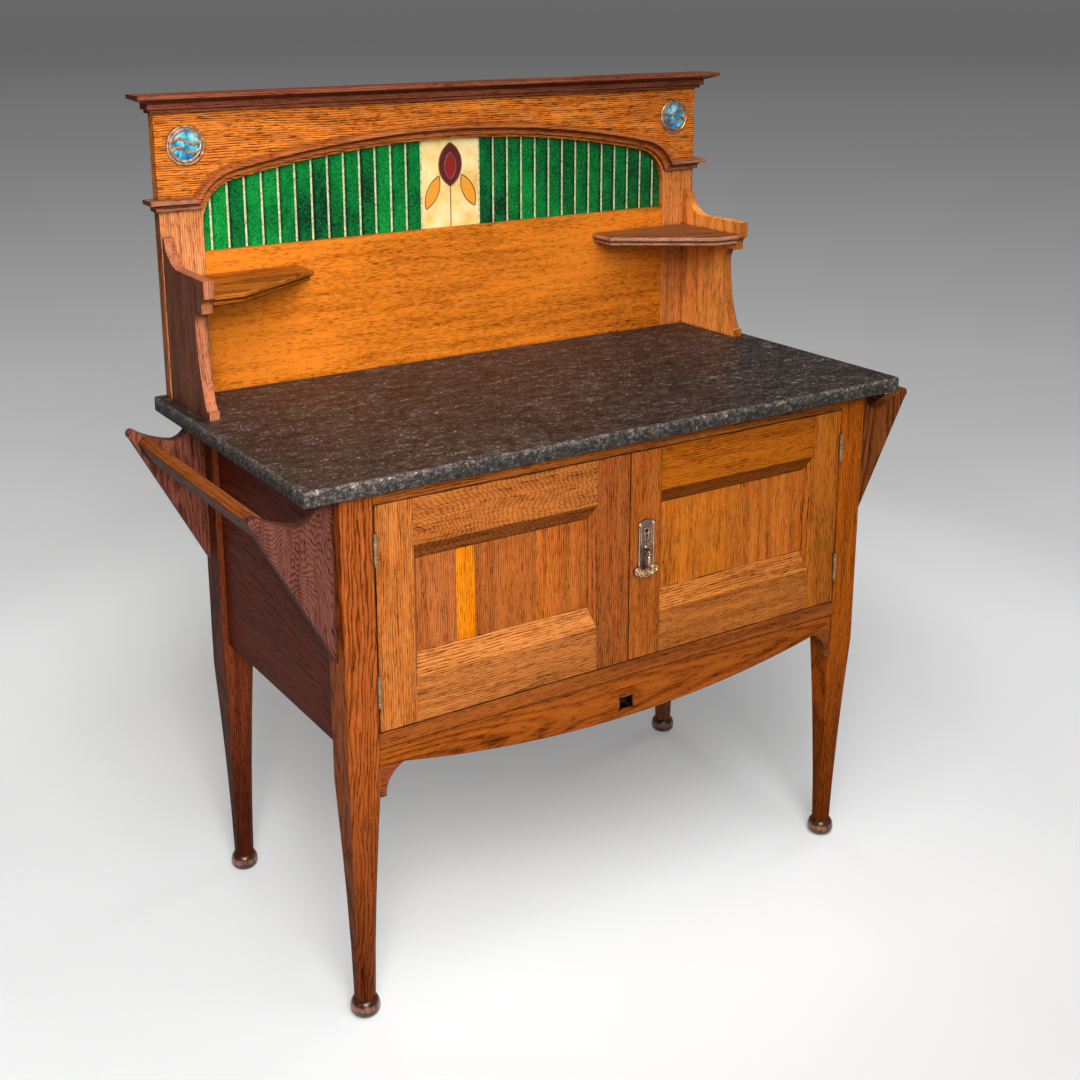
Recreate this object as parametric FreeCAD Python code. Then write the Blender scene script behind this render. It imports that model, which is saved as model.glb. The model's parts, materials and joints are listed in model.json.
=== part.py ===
import FreeCAD
import Part
import math
import os

Vector = FreeCAD.Vector

# Oak washstand with a stone top, a tiled splashback, towel rails and a two-door cupboard.
# Millimetres, +Z up, +Y to the back. The origin is on the floor under the middle of the stone.

# Joints and clearances
fit = 0.15
tile_fit = 0.3
running_gap = 0.4
pin_fit = 0.05
tongue = 8.0
tenon_l = 16.0
tenon_cheek = 5.0
overrun = 5.0

# Stone top
stone_w = 1000.0
stone_d = 524.0
stone_t = 22.0
worktop_h = 778.0
stone_corner_r = 4.0
stone_arris = 1.8

# Carcass
side_overhang = 54.5
cupboard_h = 354.0
front_overhang = 18.0
back_overhang = 34.0
leg_w = 46.0
leg_square_drop = 50.0
leg_arris = 0.8
leg_taper_power_share = 1.6
leg_station_shares = (0.0, 0.25, 0.5, 0.75, 1.0)
ankle_w = 27.0
ankle_chamfer = 7.9
foot_h = 24.0
foot_r = 20.3
foot_base_r = 13.0
foot_top_r = 13.4
foot_bulge_share = 0.46
foot_steps = 4
side_t = 14.0
side_setback = 10.0
side_drop = 6.0
back_rail_t = 18.0
back_rail_h = 50.0
back_board_t = 9.0
back_board_count = 6
back_board_gap = 0.6
floor_t = 10.0
bearer_w = 20.0
bearer_h = 20.0
cross_bearer_w = 60.0

# Front rails and apron
top_rail_h = 18.0
top_rail_d = 44.0
bottom_rail_h = 22.0
bottom_rail_d = 38.0
apron_t = 18.0
apron_setback = 1.5
apron_end_h = 28.0
apron_bow = 37.0
ear_w = 36.0
ear_h = 43.0
ear_toe = 8.5
ear_t = 16.0
ear_curve_shares = (0.62, 0.26)
piercing_w = 27.0
piercing_h = 22.0
piercing_drop = 43.5
piercing_curve = 1.6
piercing_block_rim = 8.0
piercing_block_t = 14.0

# Doors
door_t = 22.0
door_gap = 1.5
meeting_gap = 2.0
hinge_gap = 2.0
stile_w = 54.0
door_rail_h = 64.0
bevel_depth = 13.0
bevel_side = 9.0
bevel_top = 23.0
bevel_bottom = 30.0
panel_t = 6.5
door_tenon_t = 8.0
door_tenon_inset = 9.0
door_tenon_depth = 7.0

# Butt hinges
hinge_h = 44.0
hinge_inset = 58.0
hinge_proud = 1.6
knuckle_r = 2.8
pin_r = 1.3
leaf_t = 1.2
leaf_w = 18.0
knuckle_shares = (0.0, 0.3, 0.7, 1.0)

# Handle, lock and bolt
plate_w = 27.0
plate_t = 2.0
plate_top_drop = 101.0
plate_arch = 6.0
plate_hood = 1.6
plate_hood_w = 5.0
plate_straight_h = 76.0
lobe_t = 3.4
lobe_r = 6.4
lobe_spread = 14.5
lobe_drop = 9.0
lobe_count = 5
keyhole_r = 3.0
keyhole_slot_w = 2.6
keyhole_slot_h = 12.0
keyhole_drop = 17.0
pull_drop = 49.0
pull_l = 33.0
pull_r = 4.8
pull_eye_r = 3.3
pull_eye_w = 5.0
pull_pin_r = 1.2
pull_profile_shares = ((0.12, 0.6), (0.2, 0.84), (0.3, 0.54), (0.72, 0.95), (0.86, 0.95), (1.0, 0.4))
lug_w = 2.6
lug_r = 3.0
lock_w = 46.0
lock_h = 62.0
lock_t = 11.0
lock_inset = 3.0
lock_rise = 21.0
lock_bolt_h = 14.0
lock_bolt_t = 5.0
lock_bolt_l = 34.0
bolt_r = 3.0
bolt_l = 58.0
bolt_plate_w = 22.0
bolt_plate_h = 66.0
bolt_plate_t = 2.0
bolt_plate_drop = 6.0
bolt_travel = 9.0
staple_w = 13.0
staple_h = 8.0
bolt_stand = 3.4
bolt_knob_r = 3.2
bolt_knob_l = 7.0
bolt_knob_share = 0.5

# Splashback
splash_end_inset = 17.0
splash_stile_w = 65.0
splash_t = 19.5
splash_inset = 9.0
tile_low_h = 211.0
tile_h = 141.0
frieze_h = 60.0
crown_r = 1750.0
shoulder_r = 62.0
tile_recess = 11.0
tile_pitch = 26.9
tile_joint_w = 3.4
tile_joint_sink = 0.5
centre_tile_w = 102.0
tile_backing_t = 8.0
tile_backing_lap = 14.0

# Ledge and arch moulding
ledge_rise = 22.0
moulding_h = 17.0
moulding_p = 16.0
moulding_margin = 5.0
moulding_bead_p_share = 0.34
moulding_bead_h_share = 0.24
moulding_cap_share = 0.62
moulding_cove_p_share = 0.86
moulding_cove_shares = (0.46, 0.46)

# Cornice
cornice_h = 26.5
cornice_p = 30.0
cornice_cap_share = 0.78
cornice_cove_p_share = 0.94
cornice_fascia_p_share = 0.36
cornice_fascia_share = 0.52
cornice_bead_p_share = 0.2
cornice_bead_share = 0.2
cornice_cove_shares = (0.57, 0.6)

# Roundels
roundel_r = 29.0
roundel_rim_w = 4.2
roundel_rim_t = 3.6
roundel_rim_round = 1.2
roundel_disc_t = 2.0
roundel_dome = 1.2
roundel_in = 45.0
roundel_below_top = 46.5

# Side brackets and corner shelves on the stone
bracket_t = 16.0
bracket_set_in = 2.0
bracket_below_ledge = 37.0
bracket_h = 198.0
bracket_reach = 152.5
bracket_nose_h = 25.0
bracket_foot_reach = 146.0
bracket_foot_h = 13.0
bracket_foot_step = 7.0
bracket_waist_reach = 113.5
bracket_waist_h = 118.0
bracket_cove_reach = 122.0
bracket_cove_h = 151.0
bracket_step_reach = 142.0
bracket_step_h = 12.0
bracket_flat_reach = 52.0
bracket_tip = 5.0
shelf_top_h = 177.0
shelf_upper_t = 8.0
shelf_lower_t = 8.0
shelf_lower_inset = 4.0
shelf_reed_r = 3.2
shelf_w = 195.0
shelf_tip_d = 49.0
shelf_front_w = 46.0
shelf_front_back = 2.5

# Posts behind the splashback
strap_w = 44.0
strap_clear = 11.0
strap_below = 136.0
strap_gap = 0.5

# Towel brackets and rails
towel_t = 18.0
towel_front_setback = 19.0
towel_reach = 110.5
towel_h = 229.0
towel_neck = 21.5
towel_dip_x_share = 0.41
towel_dip_drop = 34.5
towel_tip_drop = 10.5
towel_tip_reach_share = 0.935
towel_heel_drop = 24.0
towel_heel_reach_share = 0.98
rail_t = 17.5
rail_w = 31.0
rail_edge_gap = 5.0
rail_drop = 32.0
rail_house = 6.0
rail_arris = 2.0

# Places worked out from the sizes
stone_front = -stone_d / 2
stone_back = stone_d / 2
carcass_front = stone_front + front_overhang
carcass_back = stone_back - back_overhang
carcass_top = worktop_h - stone_t
bottom_rail_low = carcass_top - cupboard_h
side_low = bottom_rail_low - side_drop
leg_taper_z = bottom_rail_low - leg_square_drop
leg_out_x = stone_w / 2 - side_overhang
leg_in_x = leg_out_x - leg_w
side_out_x = leg_out_x - side_setback
side_in_x = side_out_x - side_t
front_leg_back = carcass_front + leg_w
back_leg_front = carcass_back - leg_w
top_rail_low = carcass_top - top_rail_h
bottom_rail_top = bottom_rail_low + bottom_rail_h
door_top = top_rail_low - door_gap
door_low = bottom_rail_top + door_gap
door_back = carcass_front + door_t
door_in_x = meeting_gap / 2
door_out_x = leg_in_x - hinge_gap
door_mid_x = door_in_x + stile_w / 2
hinge_x = leg_in_x - hinge_gap / 2
hinge_y = carcass_front - hinge_proud
floor_top = bottom_rail_top + floor_t
back_rail_front = carcass_back - back_rail_t
splash_x = stone_w / 2 - splash_end_inset
tile_half_w = splash_x - splash_stile_w
tile_span = tile_half_w - centre_tile_w / 2 - tile_joint_w
strips_per_side = int(tile_span / tile_pitch)
splash_back = stone_back - splash_inset
splash_front = splash_back - splash_t
tile_low = worktop_h + tile_low_h
tile_crown = tile_low + tile_h
splash_top = tile_crown + frieze_h
tile_front = splash_front + tile_recess
arch_x = tile_half_w - shoulder_r
crown_z = tile_crown - crown_r
shoulder_z = crown_z + math.sqrt((crown_r - shoulder_r) ** 2 - arch_x ** 2)
ledge_low = shoulder_z + ledge_rise
roundel_x = splash_x - roundel_in
ledge_top = ledge_low + moulding_h
frieze_low = ledge_low + moulding_h / 2
arch_angle = math.degrees(math.asin(arch_x / (crown_r - shoulder_r)))
plate_top = door_top - plate_top_drop
keyhole_z = plate_top - keyhole_drop
pull_z = plate_top - pull_drop
plate_low = plate_top - plate_straight_h
pull_y = carcass_front - lobe_t - running_gap - pull_r
bracket_out_x = splash_x - bracket_set_in
bracket_back_h = ledge_low - bracket_below_ledge - worktop_h
bracket_in_x = bracket_out_x - bracket_t
strap_above = tile_low_h - tile_backing_lap - strap_clear
bolt_y = door_back + bolt_plate_t + bolt_stand


def save(name, *solids):
    """Writes one node, which is one solid or a group of like solids."""
    shape = solids[0] if len(solids) == 1 else Part.makeCompound(list(solids))
    shape.exportStep("parts/" + name + ".step")


def box(x0, x1, y0, y1, z0, z1):
    return Part.makeBox(x1 - x0, y1 - y0, z1 - z0, Vector(x0, y0, z0))


def mirror_x(shape):
    return shape.mirror(Vector(0, 0, 0), Vector(1, 0, 0))


def outline(start, steps, place):
    """A closed wire: a step of one point is a line, and one of two points an arc through the first."""
    edges = []
    here = start
    for step in steps + [(start,)]:
        end = step[-1]
        if len(step) == 2:
            edges.append(Part.Arc(place(*here), place(*step[0]), place(*end)).toShape())
        elif end != here:
            edges.append(Part.LineSegment(place(*here), place(*end)).toShape())
        here = end
    return Part.Wire(edges)


def lines(points):
    """The steps of an outline that has only straight sides, after its first point."""
    return [(p,) for p in points[1:]]


def prism_x(start, steps, x0, x1):
    """Extrudes an outline of (y, z) points along X."""
    wire = outline(start, steps, lambda y, z: Vector(x0, y, z))
    return Part.Face(wire).extrude(Vector(x1 - x0, 0, 0))


def prism_y(start, steps, y0, y1):
    """Extrudes an outline of (x, z) points along Y."""
    wire = outline(start, steps, lambda x, z: Vector(x, y0, z))
    return Part.Face(wire).extrude(Vector(0, y1 - y0, 0))


def prism_z(start, steps, z0, z1):
    """Extrudes an outline of (x, y) points along Z."""
    wire = outline(start, steps, lambda x, y: Vector(x, y, z0))
    return Part.Face(wire).extrude(Vector(0, 0, z1 - z0))


def fuse(first, *others):
    return first.multiFuse(list(others)).removeSplitter()


def edges_where(shape, test):
    """The edges whose two ends both pass a test of their points."""
    return [e for e in shape.Edges if all(test(v.Point) for v in e.Vertexes)]


def near(a, b):
    return abs(a - b) < fit


# Legs


def octagon(width, chamfer, z):
    """The corners of a square with its own corners cut off, at one height."""
    half = width / 2
    short = half - chamfer
    corners = [(half, short), (short, half), (-short, half), (-half, short)]
    corners += [(-x, -y) for x, y in corners]
    return [Vector(x, y, z) for x, y in corners]


def flat_face(corners):
    return Part.Face(Part.makePolygon(corners + corners[:1]))


def turned_foot():
    """A flattened ball foot turned in one with its leg, its bulge cut in short straight steps."""
    rise = foot_h * foot_bulge_share
    points = []
    for n in range(foot_steps + 1):
        turn = math.pi * (n / foot_steps - 1 / 2)
        reach, base = (rise, foot_base_r) if turn < 0 else (foot_h - rise, foot_top_r)
        points.append((base + (foot_r - base) * math.cos(turn), rise + reach * math.sin(turn)))
    wire = outline((0, 0), lines([(0, 0)] + points) + [((0, foot_h),)], lambda r, z: Vector(r, 0, z))
    return Part.Face(wire).revolve(Vector(0, 0, 0), Vector(0, 0, 1), 360)


def plain_leg():
    """A square leg that tapers to an octagonal ankle on a ball foot, centred on its own axis."""
    rings = []
    for share in leg_station_shares:
        width = ankle_w + (leg_w - ankle_w) * share ** leg_taper_power_share
        chamfer = ankle_chamfer + (leg_arris - ankle_chamfer) * share
        rings.append(octagon(width, chamfer, foot_h + (leg_taper_z - foot_h) * share))
    rings.append(octagon(leg_w, leg_arris, carcass_top))
    faces = [flat_face(rings[0]), flat_face(rings[-1])]
    for low, high in zip(rings, rings[1:]):
        for n in range(len(low)):
            faces.append(flat_face([low[n - 1], low[n], high[n], high[n - 1]]))
    return turned_foot().fuse(Part.Solid(Part.makeShell(faces)))


def side_panel(grow):
    """The right side panel with its tongues, or its grooves in the legs where it grows by the fit."""
    return box(side_in_x - grow, side_out_x + grow, front_leg_back - tongue - grow,
               back_leg_front + tongue + grow, side_low - grow, carcass_top + grow)


def tenons(y0, y1, z0, z1, grow):
    """The pair of tenons on the ends of a rail between two legs."""
    right = box(leg_in_x - grow, leg_in_x + tenon_l + grow, y0 + tenon_cheek - grow, y1 - tenon_cheek + grow,
                z0 + tenon_cheek - grow, z1 - tenon_cheek + grow)
    return [right, mirror_x(right)]


top_rail_place = (carcass_front, carcass_front + top_rail_d, top_rail_low, carcass_top)
bottom_rail_place = (carcass_front, carcass_front + bottom_rail_d, bottom_rail_low, bottom_rail_top)
back_top_place = (back_rail_front, carcass_back, carcass_top - back_rail_h, carcass_top)
back_low_place = (back_rail_front, carcass_back, bottom_rail_low, bottom_rail_low + back_rail_h)
rail_places = [top_rail_place, bottom_rail_place, back_top_place, back_low_place]


def rail(place):
    y0, y1, z0, z1 = place
    return fuse(box(-leg_in_x, leg_in_x, y0, y1, z0, z1), *tenons(y0, y1, z0, z1, 0))


def hinge_centres():
    return [door_top - hinge_inset, door_low + hinge_inset]


def hinge_housing(z):
    """The room that one hinge takes out of the leg and the door edge beside it."""
    low = z - hinge_h / 2
    barrel = Part.makeCylinder(knuckle_r + running_gap, hinge_h, Vector(hinge_x, hinge_y, low))
    leaf = box(door_out_x - leaf_t / 2 - fit, leg_in_x + leaf_t / 2 + fit, hinge_y,
               carcass_front + leaf_w + fit, low, low + hinge_h)
    return barrel.fuse(leaf)


def build_legs():
    cuts = []
    for place in rail_places:
        cuts += tenons(*place, fit)
    cuts += [side_panel(fit)]
    leg_centre = leg_out_x - leg_w / 2
    for name, y in (("front", carcass_front + leg_w / 2), ("back", carcass_back - leg_w / 2)):
        leg = plain_leg()
        leg.translate(Vector(leg_centre, y, 0))
        housings = [hinge_housing(z) for z in hinge_centres()] if name == "front" else []
        leg = leg.cut(cuts + housings)
        save("leg_" + name + "_right", leg)
        save("leg_" + name + "_left", mirror_x(leg))


# Carcass


def build_sides():
    panel = side_panel(0)
    save("side_panel_right", panel)
    save("side_panel_left", mirror_x(panel))


def build_front_rails():
    socket = Part.makeCylinder(bolt_r + running_gap, bolt_travel + running_gap,
                               Vector(-door_mid_x, bolt_y, top_rail_low))
    save("front_top_rail", rail(top_rail_place).cut(socket))
    save("front_bottom_rail", rail(bottom_rail_place))


def piercing(y0, y1):
    """A small square window whose four sides bow inwards."""
    low = bottom_rail_low - piercing_drop - piercing_h / 2
    mid, high = low + piercing_h / 2, low + piercing_h
    half = piercing_w / 2
    return prism_y((-half, low), [((0, low + piercing_curve), (half, low)),
                                  ((half - piercing_curve, mid), (half, high)),
                                  ((0, high - piercing_curve), (-half, high)),
                                  ((-half + piercing_curve, mid), (-half, low))], y0, y1)


def build_apron():
    end_z = bottom_rail_low - apron_end_h
    front = carcass_front + apron_setback
    bow_x = leg_in_x - ear_w
    board = prism_y((-leg_in_x, bottom_rail_low), [((-leg_in_x, end_z),), ((-bow_x, end_z),),
                                                     ((0, end_z - apron_bow), (bow_x, end_z)),
                                                     ((leg_in_x, end_z),), ((leg_in_x, bottom_rail_low),)],
                    front, front + apron_t)
    back = front + apron_t
    save("apron", board.cut(piercing(front - overrun, back + overrun)))
    toe_z = end_z - ear_h
    across, up = ear_curve_shares
    curve = (leg_in_x - ear_toe - (ear_w - ear_toe) * up, end_z - ear_h * (1 - across))
    ear = prism_y((leg_in_x, end_z), [((leg_in_x, toe_z),), ((leg_in_x - ear_toe, toe_z),),
                                      (curve, (bow_x, end_z))], front, front + ear_t)
    save("apron_ears", ear, mirror_x(ear))


def build_back():
    low = back_low_place[3] - tongue
    high = back_top_place[2] + tongue
    y0 = back_rail_front + (back_rail_t - back_board_t) / 2
    groove = box(-leg_in_x, leg_in_x, y0 - fit, y0 + back_board_t + fit, low - fit, high + fit)
    save("back_top_rail", rail(back_top_place).cut(groove))
    save("back_bottom_rail", rail(back_low_place).cut(groove))
    pitch = 2 * leg_in_x / back_board_count
    boards = []
    for n in range(back_board_count):
        x0 = -leg_in_x + n * pitch
        x1 = x0 + pitch - back_board_gap / 2
        boards.append(box(x0 + back_board_gap / 2, x1, y0, y0 + back_board_t, low, high))
    save("back_boards", *boards)


def build_inside():
    wide = side_in_x - fit
    narrow = leg_in_x - fit
    front = door_back + running_gap
    back = back_rail_front - fit
    front_leg = front_leg_back + fit
    back_leg = back_leg_front - fit
    half = [(narrow, front), (narrow, front_leg), (wide, front_leg), (wide, back_leg), (narrow, back_leg)]
    half.append((narrow, back))
    points = half + [(-x, y) for x, y in reversed(half)]
    save("cupboard_floor", prism_z(points[0], lines(points), bottom_rail_top, floor_top))
    bearer_x = side_in_x - bearer_w
    bearer = lambda top: box(bearer_x, side_in_x, front_leg_back, back_leg_front, top - bearer_h, top)
    low = bearer(bottom_rail_top)
    high = bearer(carcass_top)
    cross = box(-cross_bearer_w / 2, cross_bearer_w / 2, carcass_front + top_rail_d, back_rail_front,
                carcass_top - bearer_h, carcass_top)
    block_back = carcass_front + apron_setback + apron_t
    block_half = piercing_w / 2 + piercing_block_rim
    block_rise = piercing_h / 2 + piercing_block_rim
    block_mid = bottom_rail_low - piercing_drop
    block = box(-block_half, block_half, block_back, block_back + piercing_block_t, block_mid - block_rise,
                block_mid + block_rise)
    save("floor_and_top_bearers", low, mirror_x(low), high, mirror_x(high), cross, block)


# Stone top


def build_stone():
    half = stone_w / 2
    slab = box(-half, half, stone_front, stone_back, carcass_top, worktop_h)
    upright = edges_where(slab, lambda p: near(abs(p.x), half))
    slab = slab.makeFillet(stone_corner_r, [e for e in upright if near(e.Length, stone_t)])
    rims = [e for e in slab.Edges if near(e.Vertexes[0].Z, e.Vertexes[-1].Z)]
    slab = slab.makeChamfer(stone_arris, rims)
    for x in (-leg_out_x, leg_in_x):
        slab = slab.cut(box(x + (leg_w - strap_w) / 2 - strap_gap, x + (leg_w + strap_w) / 2 + strap_gap,
                            splash_back - strap_gap, stone_back + overrun, carcass_top - overrun,
                            worktop_h + overrun))
    save("stone_top", slab)


# Splashback


def arch_opening(shrink, y0, y1):
    """The tile opening: upright sides and a level foot under a three-centred arch."""
    half = tile_half_w - shrink
    low = tile_low + shrink
    turn = math.radians(arch_angle)
    bisect = (math.radians(90) - turn) / 2
    spring = (half, shoulder_z)
    r = shoulder_r - shrink
    mid = (arch_x + r * math.cos(bisect), shoulder_z + r * math.sin(bisect))
    join = (arch_x + r * math.sin(turn), shoulder_z + r * math.cos(turn))
    crown = (0, crown_z + crown_r - shrink)
    other = lambda p: (-p[0], p[1])
    return prism_y((half, low), [(spring,), (mid, join), (crown, other(join)), (other(mid), other(spring)),
                                 ((-half, low),)], y0, y1)


def build_splash_frame():
    opening = arch_opening(0, splash_front - overrun, splash_back + overrun)
    frieze = box(-splash_x, splash_x, splash_front, splash_back, frieze_low, splash_top)
    save("frieze_board", frieze.cut(opening))
    tongue_y0 = splash_front + splash_t / 3
    tongue_y1 = splash_back - splash_t / 3
    panel = box(-tile_half_w, tile_half_w, splash_front, splash_back, worktop_h, tile_low)
    edge = box(-tile_half_w - tongue, tile_half_w + tongue, tongue_y0, tongue_y1, worktop_h, tile_low)
    save("lower_panel", fuse(panel, edge))
    inner = tile_half_w - shoulder_r
    stile = box(inner, splash_x, splash_front, splash_back, worktop_h, frieze_low).cut(opening)
    stile = stile.cut(box(0, tile_half_w, splash_front, splash_back, worktop_h, tile_low))
    groove_x = tile_half_w + tongue + fit
    stile = stile.cut(box(0, groove_x, tongue_y0 - fit, tongue_y1 + fit, worktop_h, tile_low))
    save("splash_stile_right", stile)
    save("splash_stile_left", mirror_x(stile))


def build_tiles():
    field = arch_opening(tile_fit, tile_front, splash_back)
    joints = arch_opening(tile_fit, tile_front + tile_joint_sink, splash_back)
    y0, y1 = splash_front, stone_back
    high = splash_top
    centre = box(-centre_tile_w / 2, centre_tile_w / 2, y0, y1, tile_low, high)
    save("centre_tile", field.common(centre))
    strips = []
    lines_between = []
    for n in range(strips_per_side + 1):
        x0 = centre_tile_w / 2 + n * tile_pitch
        x1 = x0 + tile_joint_w
        x2 = x0 + tile_pitch if n < strips_per_side else tile_half_w
        line = joints.common(box(x0, x1, y0, y1, tile_low, high))
        strip = field.common(box(x1, x2, y0, y1, tile_low, high))
        strips += [strip, mirror_x(strip)]
        lines_between += [line, mirror_x(line)]
    save("green_tiles", *strips)
    save("tile_joints", *lines_between)
    backing = box(-tile_half_w - tile_backing_lap, tile_half_w + tile_backing_lap, splash_back,
                  splash_back + tile_backing_t, tile_low - tile_backing_lap,
                  tile_crown + tile_backing_lap)
    save("tile_backing_board", backing)


# Ledge and arch moulding


def moulding_steps(back):
    """The moulding's section as (projection, height) steps from a start behind its face."""
    bead_p = moulding_p * moulding_bead_p_share
    bead_h = moulding_h * moulding_bead_h_share
    cap_h = moulding_h * moulding_cap_share
    cove_p = moulding_p * moulding_cove_p_share
    out, up = moulding_cove_shares
    mid = (moulding_p * out, moulding_h * up)
    return (-back, 0), [((bead_p, 0),), ((bead_p, bead_h),), (mid, (cove_p, cap_h)), ((moulding_p, cap_h),),
                        ((moulding_p, moulding_h),), ((-back, moulding_h),)]


def turned(shape, x, z, angle):
    """A copy turned about an axis along Y, the top going to +X."""
    copy = shape.copy()
    copy.rotate(Vector(x, 0, z), Vector(0, 1, 0), angle)
    return copy


def mitre_side():
    """Everything to the right of the mitre between the arch and the right ledge."""
    inner_r = shoulder_r + moulding_margin
    foot = ledge_low - shoulder_z
    head = ledge_top - shoulder_z
    p = Vector(arch_x + math.sqrt(inner_r ** 2 - foot ** 2), 0, ledge_low)
    q = Vector(arch_x + math.sqrt((inner_r + moulding_h) ** 2 - head ** 2), 0, ledge_top)
    reach = (q - p) * (tile_half_w / 2 / moulding_h / 2)
    a, b = p - reach, q + reach
    points = [(a.x, a.z), (b.x, b.z), (b.x + splash_x, b.z), (a.x + splash_x, a.z)]
    return prism_y(points[0], lines(points), stone_front, stone_back)


def build_arch():
    start, steps = moulding_steps(0)
    base = crown_z + crown_r + moulding_margin
    section = Part.Face(outline(start, steps, lambda out, up: Vector(0, splash_front - out, base + up)))
    crown_start = turned(section, 0, crown_z, -arch_angle)
    crown = crown_start.revolve(Vector(0, 0, crown_z), Vector(0, 1, 0), 2 * arch_angle)
    end = turned(section, 0, crown_z, arch_angle)
    shoulder = end.revolve(Vector(arch_x, 0, shoulder_z), Vector(0, 1, 0), 90 - arch_angle)
    side = mitre_side()
    shoulder = shoulder.cut(side)
    save("arch_moulding", fuse(crown, shoulder, mirror_x(shoulder)))
    ledge = returned_moulding(moulding_steps, ledge_low, splash_back)
    ledge = ledge.cut(box(-splash_x, splash_x, splash_front, splash_back, ledge_low, ledge_top))
    right = ledge.common(side)
    save("ledge_mouldings", right, mirror_x(right))


def returned_moulding(steps_of, low, back):
    """A moulding along the front of the splashback that returns along both ends, mitred at the corners."""
    start, steps = steps_of(splash_x)
    wire = outline(start, steps, lambda out, up: Vector(-stone_w, splash_front - out, low + up))
    front = Part.Face(wire).extrude(Vector(2 * stone_w, 0, 0))
    wire = outline(start, steps, lambda out, up: Vector(splash_x + out, stone_front, low + up))
    right = Part.Face(wire).extrude(Vector(0, back - stone_front, 0))
    both_ends = right.fuse(mirror_x(right)).removeSplitter()
    return front.common(both_ends)


# Cornice and roundels


def cornice_steps(back):
    bead_p = cornice_p * cornice_bead_p_share
    bead_h = cornice_h * cornice_bead_share
    fascia_p = cornice_p * cornice_fascia_p_share
    fascia_h = cornice_h * cornice_fascia_share
    cove_p = cornice_p * cornice_cove_p_share
    cap_h = cornice_h * cornice_cap_share
    out, up = cornice_cove_shares
    mid = (cornice_p * out, cornice_h * up)
    return (-back, 0), [((bead_p, 0),), ((bead_p, bead_h),), ((fascia_p, bead_h),), ((fascia_p, fascia_h),),
                        (mid, (cove_p, cap_h)), ((cornice_p, cap_h),), ((cornice_p, cornice_h),),
                        ((-back, cornice_h),)]


def build_cornice():
    save("cornice", returned_moulding(cornice_steps, splash_top, splash_back))


def build_roundels():
    z = splash_top - roundel_below_top
    inner = roundel_r - roundel_rim_w
    deep = roundel_rim_t - roundel_rim_round
    place = lambda r, out: Vector(roundel_x + r, splash_front - out, z)
    axis = (Vector(roundel_x, splash_front, z), Vector(0, 1, 0), 360)
    rim = outline((inner, 0), [((roundel_r, 0),), ((roundel_r, deep),),
                               ((roundel_r - roundel_rim_round, roundel_rim_t),),
                               ((inner + roundel_rim_round, roundel_rim_t),), ((inner, deep),)], place)
    rim = Part.Face(rim).revolve(*axis)
    save("roundel_rims", rim, mirror_x(rim))
    edge = inner - fit
    sphere_r = (edge ** 2 + roundel_dome ** 2) / roundel_dome / 2
    half_way = math.asin(edge / sphere_r) / 2
    top = roundel_disc_t + roundel_dome
    dome = (sphere_r * math.sin(half_way), top - sphere_r * (1 - math.cos(half_way)))
    disc = outline((0, 0), [((edge, 0),), ((edge, roundel_disc_t),), (dome, (0, top))], place)
    disc = Part.Face(disc).revolve(*axis)
    save("roundel_enamels", disc, mirror_x(disc))


# Brackets and shelves that stand on the stone


def build_brackets():
    at = lambda reach, h: (splash_front - reach, worktop_h + h)
    nose_low = bracket_h - bracket_nose_h
    start = at(0, 0)
    steps = [(at(bracket_foot_reach, 0),), (at(bracket_foot_reach, bracket_foot_h),)]
    toe_reach = bracket_foot_reach - bracket_foot_step
    steps.append((at(toe_reach, bracket_foot_h),))
    lower_mid = at(bracket_waist_reach + (toe_reach - bracket_waist_reach) * 2 / 7,
                   bracket_foot_h + (bracket_waist_h - bracket_foot_h) / 2)
    steps.append((lower_mid, at(bracket_waist_reach, bracket_waist_h)))
    upper_mid = at(bracket_waist_reach + (bracket_cove_reach - bracket_waist_reach) / 5,
                   bracket_waist_h + (bracket_cove_h - bracket_waist_h) * 2 / 3)
    steps.append((upper_mid, at(bracket_cove_reach, bracket_cove_h)))
    step_top = bracket_cove_h + bracket_step_h
    steps += [(at(bracket_step_reach, bracket_cove_h),), (at(bracket_step_reach, step_top),)]
    nose_mid = at(bracket_step_reach + (bracket_reach - bracket_step_reach) / 3,
                  step_top + (nose_low - step_top) * 2 / 3)
    steps.append((nose_mid, at(bracket_reach, nose_low)))
    steps += [(at(bracket_reach, bracket_h),), (at(bracket_flat_reach, bracket_h),)]
    scoop_reach = bracket_tip + (bracket_flat_reach - bracket_tip) / 3
    scoop = at(scoop_reach, bracket_h + (bracket_back_h - bracket_h) / 3)
    steps.append((scoop, at(bracket_tip, bracket_back_h)))
    steps.append((at(0, bracket_back_h),))
    bracket = prism_x(start, steps, bracket_in_x, bracket_out_x)
    save("end_bracket_right", bracket)
    save("end_bracket_left", mirror_x(bracket))


def shelf_layer(inset, z0, z1):
    """One reed of a corner shelf: a triangle with two of its corners cut off."""
    tip_x = bracket_in_x - shelf_w + inset
    nose_y = splash_front - bracket_reach + shelf_front_back + inset
    points = [(bracket_in_x, splash_front), (tip_x, splash_front), (tip_x, splash_front - shelf_tip_d + inset),
              (bracket_in_x - shelf_front_w + inset, nose_y), (bracket_in_x, nose_y)]
    slab = prism_z(points[0], lines(points), z0, z1)
    free = lambda p: near(p.y, splash_front) and near(p.x, bracket_in_x)
    rims = [e for e in slab.Edges if near(e.Vertexes[0].Z, e.Vertexes[-1].Z)
            and not any(free(v.Point) for v in e.Vertexes)]
    return slab.makeFillet(shelf_reed_r, rims)


def build_shelves():
    top = worktop_h + shelf_top_h
    joint = top - shelf_upper_t
    shelf = fuse(shelf_layer(0, joint, top), shelf_layer(shelf_lower_inset, joint - shelf_lower_t, joint))
    save("corner_shelf_right", shelf)
    save("corner_shelf_left", mirror_x(shelf))


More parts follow.
